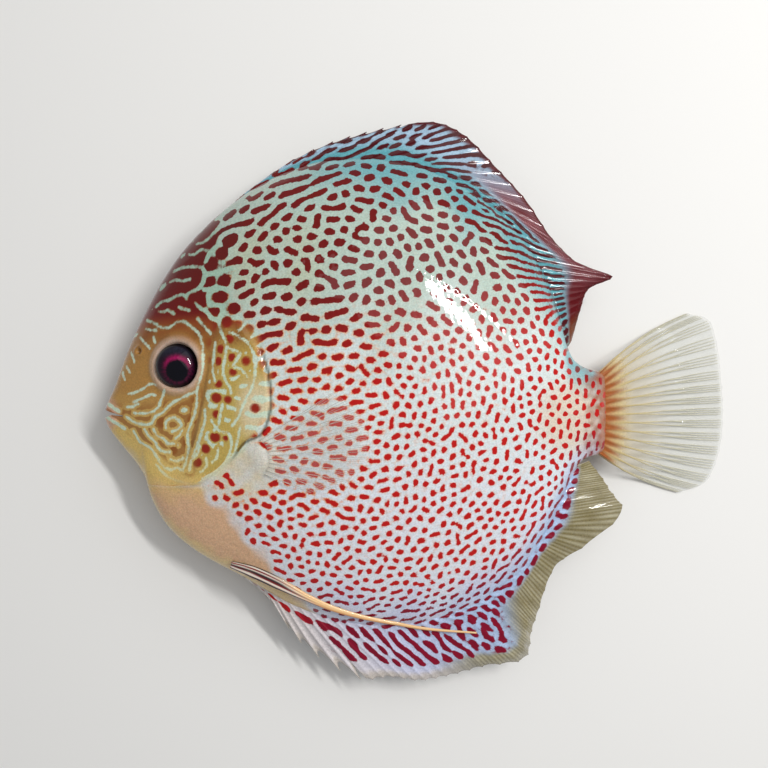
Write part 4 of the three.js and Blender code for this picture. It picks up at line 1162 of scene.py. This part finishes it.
def fin_place(fin, t, v):
    """Places on a fin's middle surface at t from front to rear and v from sunk root, 0, to edge, 1."""
    root, tip = ray_ends(fin["keys"], t, fin["lean"])
    way = tip - root
    length = np.linalg.norm(way, axis=1)
    inward = root - ray_ends(fin["keys"], t, UPRIGHT)[1]
    inward *= (fin["sunk"] / np.linalg.norm(inward, axis=1))[:, None]
    sunk = fin["sunk"] / length
    lane = t * (fin["rays"] - 1)
    between = np.abs(np.sin(math.pi * lane)) ** 0.7
    spiny = lane < fin["spines"] - 0.5
    end = 1 - between * np.where(spiny, fin["notch"], fin["notch"] / 7)
    out = np.maximum(0, 1 - (1 - v) * (1 + sunk))
    buried = np.clip(1 - v * (1 + sunk) / np.maximum(sunk, 1e-6), 0, 1)
    place = root + inward * buried[:, None] + way * (end * out)[:, None]
    place[:, 1] += fin["bow"] * (1 - 2 * t) * 4 * v * (1 - v)
    z = fin["height"](place[:, 0], place[:, 1], out, root)
    return np.column_stack([place, z]), out, length


def fin_web(name, fin, per_lane, rows_out):
    """The skin of a fin as a closed sheet, a little raised over each ray."""
    lanes = np.linspace(0, fin["rays"] - 1, per_lane * (fin["rays"] - 1) + 1)
    v = np.linspace(0, 1, rows_out + 1)
    lane, across = np.meshgrid(lanes, v, indexing="ij")
    lane, across = lane.ravel(), across.ravel()
    place, out, length = fin_place(fin, lane / (fin["rays"] - 1), across)
    thick = fin["root"] + (fin["edge"] - fin["root"]) * np.sqrt(out)
    thick = thick + fin["ridge"] * (1 - 0.6 * across) * np.abs(np.cos(math.pi * lane)) ** 6
    lift = np.column_stack([np.zeros((len(place), 2)), thick])
    top, low = place + lift, place - lift
    low[:, 2] = np.maximum(low[:, 2], 0.02)
    top[:, 2] = np.maximum(top[:, 2], low[:, 2] + 0.2)
    wide, count = rows_out + 1, len(lanes)
    i, j = (a.ravel() for a in np.meshgrid(np.arange(count - 1), np.arange(rows_out), indexing="ij"))
    a, b = i * wide + j, (i + 1) * wide + j
    upper_faces = np.column_stack([a, b, b + 1, a + 1])
    under = count * wide
    lower_faces = upper_faces[:, ::-1] + under
    rim = np.concatenate([
        np.arange(count) * wide,
        (count - 1) * wide + np.arange(1, wide),
        np.arange(count - 2, -1, -1) * wide + wide - 1,
        np.arange(wide - 2, 0, -1),
    ])
    following = np.roll(rim, -1)
    sides = np.column_stack([following, rim, rim + under, following + under])
    made = mesh_object(name, np.vstack([top, low]), np.vstack([upper_faces, lower_faces, sides]))
    turn_out(made)
    return made, np.tile(out, 2), np.tile(lane, 2), np.tile(length, 2)


def ray_tree():
    """Turns lines into jointed, tapering round rays."""
    tree = bpy.data.node_groups.new("jointed_rays", "GeometryNodeTree")
    face = tree.interface
    face.new_socket("Geometry", in_out="INPUT", socket_type="NodeSocketGeometry")
    for label, value in (("Ray Radius", 0.0003), ("Joint Length", 0.0011), ("Joint Depth", 0.12)):
        face.new_socket(label, in_out="INPUT", socket_type="NodeSocketFloat").default_value = value
    face.new_socket("Material", in_out="INPUT", socket_type="NodeSocketMaterial")
    face.new_socket("Geometry", in_out="OUTPUT", socket_type="NodeSocketGeometry")
    given = add(tree, "NodeGroupInput").outputs
    lines = add(tree, "GeometryNodeMeshToCurve", {"Mesh": given["Geometry"]})
    length = add(tree, "GeometryNodeSplineParameter").outputs["Length"]
    turns = add(tree, "ShaderNodeMath", {0: length, 1: given["Joint Length"]}, operation="DIVIDE")
    phase = add(tree, "ShaderNodeMath", {0: turns.outputs[0], 1: 2 * math.pi}, operation="MULTIPLY")
    wave = add(tree, "ShaderNodeMath", {0: phase.outputs[0]}, operation="SINE")
    swell = add(tree, "ShaderNodeMath", {
        0: wave.outputs[0], 1: given["Joint Depth"], 2: 1.0,
    }, operation="MULTIPLY_ADD")
    girth = add(tree, "GeometryNodeInputNamedAttribute", {"Name": "girth"}, data_type="FLOAT")
    taper = add(tree, "ShaderNodeMath", {
        0: girth.outputs["Attribute"], 1: given["Ray Radius"],
    }, operation="MULTIPLY")
    radius = add(tree, "ShaderNodeMath", {0: taper.outputs[0], 1: swell.outputs[0]}, operation="MULTIPLY")
    ring = add(tree, "GeometryNodeCurvePrimitiveCircle", {"Resolution": 7, "Radius": 1.0})
    tubes = add(tree, "GeometryNodeCurveToMesh", {
        "Curve": lines.outputs[0], "Profile Curve": ring.outputs["Curve"], "Scale": radius.outputs[0],
        "Fill Caps": True,
    })
    rounded = add(tree, "GeometryNodeSetShadeSmooth", {"Geometry": tubes.outputs[0]})
    finished = add(tree, "GeometryNodeSetMaterial", {
        "Geometry": rounded.outputs[0], "Material": given["Material"],
    })
    real = add(tree, "GeometryNodeRealizeInstances", {"Geometry": finished.outputs[0]})
    add(tree, "NodeGroupOutput", {"Geometry": real.outputs[0]})
    return tree


jointed_rays = ray_tree()


def make_rays(name, lines, girths, fields, radius, joint=1.1, joint_depth=0.14):
    """Rays along lines of points in mm, with the thickness and the marks given for each point."""
    mesh = bpy.data.meshes.new(name)
    starts = np.cumsum([0] + [len(line) for line in lines])
    edges = [(k, k + 1) for a, b in zip(starts[:-1], starts[1:]) for k in range(a, b - 1)]
    mesh.from_pydata(metres(np.vstack(lines)).tolist(), edges, [])
    made = bpy.data.objects.new(name, mesh)
    bpy.context.scene.collection.objects.link(made)
    set_fields(made, girth=np.concatenate(girths))
    fin_marks(made, *fields)
    modifier = made.modifiers.new("rays", "NODES")
    modifier.node_group = jointed_rays
    inputs = [item for item in jointed_rays.interface.items_tree if item.in_out == "INPUT"]
    sockets = {item.name: item.identifier for item in inputs}
    modifier[sockets["Ray Radius"]] = radius * MM
    modifier[sockets["Joint Length"]] = joint * MM
    modifier[sockets["Joint Depth"]] = joint_depth
    modifier[sockets["Material"]] = ray_finish
    graph = bpy.context.evaluated_depsgraph_get()
    graph.update()
    result = bpy.data.meshes.new_from_object(made.evaluated_get(graph))
    made.modifiers.clear()
    made.data = result
    bpy.data.meshes.remove(mesh)
    result.name = name
    turn_out(made)
    result.shade_smooth()
    return made


def fin_rays(fin, forks, points_a_ray=26):
    """Each ray of a fin as lines: the spines single, the soft rays forking where forks says."""
    lines, girths, lanes, outs = [], [], [], []
    last = fin["rays"] - 1
    for ray in range(fin["rays"]):
        soft = ray >= fin["spines"]
        ends = [0.0] if not soft else ([-0.27, -0.09, 0.09, 0.27] if len(forks) > 1 else [-0.16, 0.16])
        for k, spread in enumerate(ends):
            first = 0.0 if k == 0 else forks[0] if k == len(ends) // 2 else forks[-1]
            v = np.linspace(max(0.0, first - 0.02), 1.0 if not soft else 0.985, points_a_ray)
            half_way = np.sign(spread) * (0.18 if len(forks) > 1 else 0.16)
            apart = half_way * smooth(forks[0], forks[0] + 0.3, v)
            apart = apart + (spread - half_way) * smooth(forks[-1], forks[-1] + 0.25, v) if soft else 0 * v
            lane = np.clip(ray + apart, 0, last)
            t = lane / last
            place, out, _ = fin_place({**fin, "notch": 0.0}, t, v)
            lines.append(place)
            lanes.append(lane)
            outs.append(out)
            thin = 1 - 0.72 * v if soft else 1.15 - 0.9 * v
            girths.append(np.where(v > forks[0], thin * (0.8 if soft else 1), thin))
    return lines, girths, np.concatenate(lanes), np.concatenate(outs)


def wet_fin(name, least_solid, rough):
    """Fin web or ray: thin wet skin, pigment as on the body, and see-through where it is clear."""
    material, tree = new_material(name)
    place = add(tree, "ShaderNodeTexCoord").outputs["Object"]
    colour, heart, fleck = marked_skin(tree, place, 0.2)
    clear = add(tree, "ShaderNodeAttribute", attribute_name="clear").outputs["Fac"]
    see = add(tree, "ShaderNodeMapRange", {0: clear, 1: 0.0, 2: 1.0, 3: 1.0, 4: least_solid})
    pigment = add(tree, "ShaderNodeMath", {0: heart, 1: 0.85}, operation="MULTIPLY")
    solid = add(tree, "ShaderNodeMath", {0: see.outputs[0], 1: pigment.outputs[0]}, operation="MAXIMUM")
    ripple = add(tree, "ShaderNodeBump", {"Strength": 0.15, "Distance": 0.0003, "Height": fleck})
    surface = add(tree, "ShaderNodeBsdfPrincipled", {
        "Base Color": colour, "Roughness": rough, "IOR": SKIN_IOR, "Specular IOR Level": 0.1,
        "Coat Weight": 0.7, "Coat Roughness": 0.05, "Coat IOR": WATER_IOR, "Alpha": solid.outputs[0],
        "Normal": ripple.outputs[0],
    })
    add(tree, "ShaderNodeOutputMaterial", {"Surface": surface.outputs[0]})
    return material


web_finish = wet_fin("wet_fin_web", 0.05, 0.35)
ray_finish = wet_fin("wet_bony_ray", 0.25, 0.3)


def fin_marks(made, x, y, pale, clear, depth):
    """Gives a fin piece the fields that the wet fin finish reads."""
    set_fields(
        made, pale=pale, mark=pale * 0.6, core=core_colour(x, y), depth=depth, inset=np.zeros(len(x)),
        heart=np.ones(len(x)), mark_share=np.full(len(x), 0.3), clear=np.clip(clear, 0, 1),
    )


# The depth outside any mark, and how much narrower a mark is on a ray than on the web, in mm
UNMARKED, RAY_MARK_INSET = -3.0, 0.12


def build_fin(
    name, fin, pale_of, clear_of, marked, ray_radius, ray_tone, ray_mix, forks, ray_clear=0.5,
):
    """A fin's web and its rays, which take the web's colours mixed with their own."""
    web, out, lane, length = fin_web(f"{name}_web", fin, fin["per_lane"], fin["rows_out"])
    x, y = points_of(web)[:, :2].T
    depth = read_chart(pigment_depth, x, y) if marked else np.full(len(x), UNMARKED)
    fin_marks(web, x, y, pale_of(x, y, out, lane, length), clear_of(out, lane, length), depth)
    web.data.materials.append(web_finish)
    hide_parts(fin["node"])
    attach(web, "root")
    lines, girths, lane, out = fin_rays(fin, forks)
    x, y = np.vstack(lines)[:, :2].T
    t = np.linspace(0, 1, 400)
    root, tip = ray_ends(fin["keys"], t, fin["lean"])
    length = np.interp(lane / (fin["rays"] - 1), t, np.linalg.norm(tip - root, axis=1))
    pale = mix(pale_of(x, y, out, lane, length), ray_tone, np.full(len(x), ray_mix))
    depth = read_chart(pigment_depth, x, y) - RAY_MARK_INSET if marked else np.full(len(x), UNMARKED)
    clear = ray_clear * clear_of(out, lane, length)
    rays = make_rays(f"{name}_rays", lines, girths, (x, y, pale, clear, depth), ray_radius)
    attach(rays, "root")


BRANCHES = 4
MARGIN_MAROON, WEB_PINK = linear("58020A"), linear("C88C94")
REAR_GOLD, DORSAL_SKY = linear("7A4B22"), linear("9DB8CC")


def branch_lines(lane, x, y):
    """1 on the four branches that each soft ray ends in, 0 between them."""
    return (0.5 - 0.5 * np.cos(2 * math.pi * BRANCHES * lane)) * (0.7 + 0.3 * ragged(x, y, 5, 18))


def dorsal_pale(x, y, out, lane, length):
    """Turquoise to sky blue, with a maroon margin and rear part and a little gold at the very end."""
    tone = mix(evenly(BACK_TURQUOISE, x), DORSAL_SKY, smooth(0.1, 0.6, out))
    from_edge = (1 - out) * length
    band = 1.3 + 0.4 * np.sin(lane * 2.1)
    dark = dorsal_dark(out, lane)
    tone = mix(tone, MARGIN_MAROON, np.maximum(smooth(band + 1.2, band - 0.6, from_edge), dark))
    pink = 0.4 * branch_lines(lane, x, y) * dark * smooth(0.2, 1.4, from_edge) * smooth(33, 27, lane)
    tone = mix(tone, WEB_PINK, pink)
    return mix(tone, REAR_GOLD, smooth(34.5, 37, lane) * (0.4 + 0.4 * branch_lines(lane, x, y)))


build_fin(
    "dorsal", DORSAL, dorsal_pale, lambda out, lane, length: 0.15 * smooth(0.6, 1, out), True,
    0.3, WEB_PINK, 0.25, (0.35, 0.62),
)

SPINE_CREAM, WEB_OLIVE, RAY_BEIGE = linear("D6CABE"), linear("7A6C3C"), linear("D8D2B4")


def anal_rear(out, lane):
    """1 on the clear olive rear lobe of the anal fin."""
    return smooth(22.5, 26, lane + 3.5 * out) * smooth(0.1, 0.32, out)


def anal_pale(x, y, out, lane, length):
    """Lavender and blue, cream on the spines and their edge, and olive at the rear edge and lobe."""
    tone = mix(evenly(ANAL_LAVENDER, x), ANAL_BLUE, smooth(12, 22, lane) * 0.7)
    tone = mix(tone, SPINE_CREAM, smooth(16, 3, lane) * 0.8)
    from_edge = (1 - out) * length
    tone = mix(tone, SPINE_CREAM, smooth(3.2, 1.0, from_edge) * smooth(20, 14, lane) * 0.8)
    olive = smooth(13.5, 19, lane) * smooth(5.0, 2.6, from_edge)
    rear = np.maximum(0.9 * olive, anal_rear(out, lane))
    tone = mix(tone, WEB_OLIVE, rear)
    return mix(tone, RAY_BEIGE, 0.6 * rear * branch_lines(lane, x, y))


def anal_clear(out, lane, length):
    """How clear the fin is: a little at the rear lobe, more at the edge before it."""
    edge = smooth(2.4, 0.6, (1 - out) * length)
    return 0.3 * anal_rear(out, lane) + 0.45 * edge * smooth(27, 20, lane)


build_fin(
    "anal", ANAL, anal_pale, anal_clear, True, 0.34, RAY_BEIGE, 0.65, (0.35, 0.62),
)

TAIL_CLEAR, TAIL_YELLOW, RAY_STRAW = linear("D6DAD4"), linear("D2B873"), linear("DCCD9C")


def tail_pale(x, y, out, lane, length):
    """Nearly colourless, yellow towards the root and brown-orange at it."""
    tone = mix(evenly(TAIL_CLEAR, x), TAIL_YELLOW, smooth(0.7, 0.15, out) * 0.85)
    return mix(tone, TAIL_ROOT, smooth(0.24, 0.03, out + 0.05 * np.sin(lane * 5)))


build_fin(
    "caudal", CAUDAL, tail_pale, lambda out, lane, length: 0.9 * smooth(0.04, 0.3, out), False,
    0.34, RAY_STRAW, 0.55, (0.3, 0.58),
)

# Pectoral fins: a clear fan rooted on a fleshy mound behind each gill cover, the lower one folded
# down and flat on the floor.
PECTORAL_TONE, PECTORAL_ROOT = linear("D8D8CE"), linear("DCD6C8")


def pectoral_pale(x, y, out, lane, length):
    """Colourless, and milky at the root."""
    return mix(evenly(PECTORAL_TONE, x), PECTORAL_ROOT, smooth(0.3, 0.0, out))


def pectoral_clear(out, lane, length):
    """Clear all over, and a little less at the root."""
    return 0.82 + 0.18 * smooth(0.0, 0.16, out)


for name, side, degrees in (("left", 1, 0), ("right", -1, PECTORAL_TURN_RIGHT)):
    fan = {
        "keys": turned(PECTORAL_KEYS, PECTORAL_BASE, degrees), "lean": UPRIGHT, "rays": 11, "spines": 0,
        "root": 0.6, "edge": 0.16, "ridge": 0.1, "sunk": 0.0, "notch": 0.04, "bow": 0.0,
        "height": pectoral_height(side), "per_lane": 10, "rows_out": 26, "node": f"pectoral_fin_{name}",
    }
    build_fin(
        f"pectoral_{name}", fan, pectoral_pale, pectoral_clear, False, 0.15, PECTORAL_ROOT,
        0.5, (0.35, 0.62), 0.85,
    )

# Pelvic fins: one under each side of the breast, a long orange-cream spine trailing to a thread,
# with a short folded web along its front part.
PELVIC_PATH = [
    (-43.4, -36), (-38.5, -37.3), (-33, -39.6), (-27, -42.8), (-20.5, -45.8), (-12.3, -48.4),
    (-1.2, -50.9), (12, -52.2),
]
PELVIC_WIDTH = [1.6, 2.7, 2.8, 1.7, 1.25, 0.95, 0.7, 0.4]
PELVIC_CLEAR = 0.4
# Half the thickness of the anal fin's root with its ridges, over which the pelvic fins lie
ANAL_ROOT_HALF = 0.85 + 0.22
PELVIC_CREAM, PELVIC_ORANGE, PELVIC_BLACK = linear("E6BC86"), linear("C8793A"), linear("1E0A0C")
PELVIC_RED, PELVIC_WHITE = linear("7A0F14"), linear("D8CCC0")


def milky_skin():
    """Bare skin over bone: milky, wet and a little see-through."""
    material, tree = new_material("milky_wet_skin")
    tone = add(tree, "ShaderNodeAttribute", attribute_name="tone").outputs["Color"]
    surface = add(tree, "ShaderNodeBsdfPrincipled", {
        "Base Color": tone, "Roughness": 0.3, "IOR": SKIN_IOR, "Coat Weight": 0.8, "Coat Roughness": 0.06,
        "Coat IOR": WATER_IOR, "Subsurface Weight": 0.15, "Subsurface Scale": 0.001,
    })
    add(tree, "ShaderNodeOutputMaterial", {"Surface": surface.outputs[0]})
    return material


pelvic_finish = milky_skin()


def pelvic_place(s, across, side, lift):
    """Places along a pelvic fin at s from its root, 0, to its tip, 1, and across it in mm."""
    path = catmull(PELVIC_PATH, s)
    way = catmull(PELVIC_PATH, np.minimum(s + 0.01, 1.0)) - catmull(PELVIC_PATH, np.maximum(s - 0.01, 0.0))
    way /= np.linalg.norm(way, axis=1)[:, None]
    x, y = path[:, 0] - across * way[:, 1], path[:, 1] + across * way[:, 0]
    web = np.where(path[:, 1] < belly(path[:, 0]) + 4, ANAL_ROOT_HALF, 0.0)
    z = middle(*path.T) + side * (np.maximum(half_at(*path.T), web) + PELVIC_CLEAR + lift)
    return np.column_stack([x, y, z])


def pelvic_web(side):
    """The folded web as rings round its length, and each point's place along and across it."""
    s = np.linspace(0.0, 0.995, 150)
    turn = np.linspace(0, 2 * math.pi, 41)[:-1]
    wide = np.interp(s, np.linspace(0, 1, len(PELVIC_WIDTH)), PELVIC_WIDTH) / 2
    thick = 0.42 - 0.2 * s
    points = []
    for c in turn:
        folds = 0.12 * math.cos(9 * math.cos(c)) * smooth(0.6, 0.2, s)
        lift = thick + (thick + folds) * math.sin(c)
        points.append(pelvic_place(s, wide * math.cos(c), side, lift))
    return np.stack(points, 1), np.repeat(s, len(turn)), np.tile(np.cos(turn), len(s))


for name, side in (("left", 1), ("right", -1)):
    rings, s, u = pelvic_web(side)
    web = closed_rings(f"pelvic_web_{name}", rings)
    s, u = np.append(s, [0, 1]), np.append(u, [0, 0])
    tone = mix(evenly(PELVIC_CREAM, s), PELVIC_ORANGE, smooth(0.1, -0.9, u) * 0.7)
    streak = np.cos(9 * u + 2.2 * np.sin(5 * s))
    front = smooth(0.5, 0.3, s + 0.1 * u)
    tone = mix(tone, PELVIC_WHITE, front * 0.9)
    tone = mix(tone, PELVIC_RED, front * smooth(0.1, 0.7, streak))
    tone = mix(tone, PELVIC_BLACK, front * smooth(0.2, 0.8, np.cos(7 * u - 1.2 + 3 * s)))
    set_fields(web, tone=tone)
    web.data.materials.append(pelvic_finish)
    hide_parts(f"pelvic_fin_{name}")
    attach(web, "root")

# Camera: straight down over the fish, as near as the photo was taken, 185 mm above the floor
CAMERA_X, CAMERA_Y, CAMERA_HEIGHT = -9.2, 4.2, 185.0
lens_data = bpy.data.cameras.new("camera")
lens_data.sensor_width = 36.0
lens_data.lens = 36.03
lens_data.clip_start = 0.005
camera = bpy.data.objects.new("camera", lens_data)
camera.location = Vector((CAMERA_X, CAMERA_Y, CAMERA_HEIGHT)) * MM
bpy.context.scene.collection.objects.link(camera)
bpy.context.scene.camera = camera

# Floor: a plain pale sheet that runs on past the view
FLOOR_REACH = 900
floor_corners = [(FLOOR_REACH * i, FLOOR_REACH * j, 0) for i, j in ((-1, -1), (1, -1), (1, 1), (-1, 1))]
floor = mesh_object("floor", floor_corners, [(0, 1, 2, 3)])
floor_finish, floor_tree = new_material("matt_pale_paper")
floor_surface = add(floor_tree, "ShaderNodeBsdfPrincipled", {
    "Base Color": (*linear("E4E2DE"), 1), "Roughness": 0.8,
})
add(floor_tree, "ShaderNodeOutputMaterial", {"Surface": floor_surface.outputs[0]})
floor.data.materials.append(floor_finish)

# Light: a large soft lamp beyond the fish's tail and back, a small crisp one over its tail, and a dim
# even sky. Sizes and places are in metres, and the powers in watts.
for name, size, power, place in (
    ("soft_lamp", (1.1, 1.1), 3.8, (0.45, 0.42, 0.78)),
    ("crisp_lamp", (0.22, 0.03), 1.6, (0.25, 0.16, 0.42)),
):
    lamp_data = bpy.data.lights.new(name, "AREA")
    lamp_data.shape = "RECTANGLE"
    lamp_data.size, lamp_data.size_y = size
    lamp_data.energy = power
    lamp = bpy.data.objects.new(name, lamp_data)
    lamp.location = place
    lamp.rotation_euler = (-Vector(place)).to_track_quat("-Z", "Y").to_euler()
    bpy.context.scene.collection.objects.link(lamp)
sky = bpy.data.worlds.new("sky")
sky.use_nodes = True
sky.node_tree.nodes["Background"].inputs["Color"].default_value = (*linear("EEF1F5"), 1)
sky.node_tree.nodes["Background"].inputs["Strength"].default_value = 0.42
bpy.context.scene.world = sky
bpy.context.scene.view_settings.view_transform = "Standard"
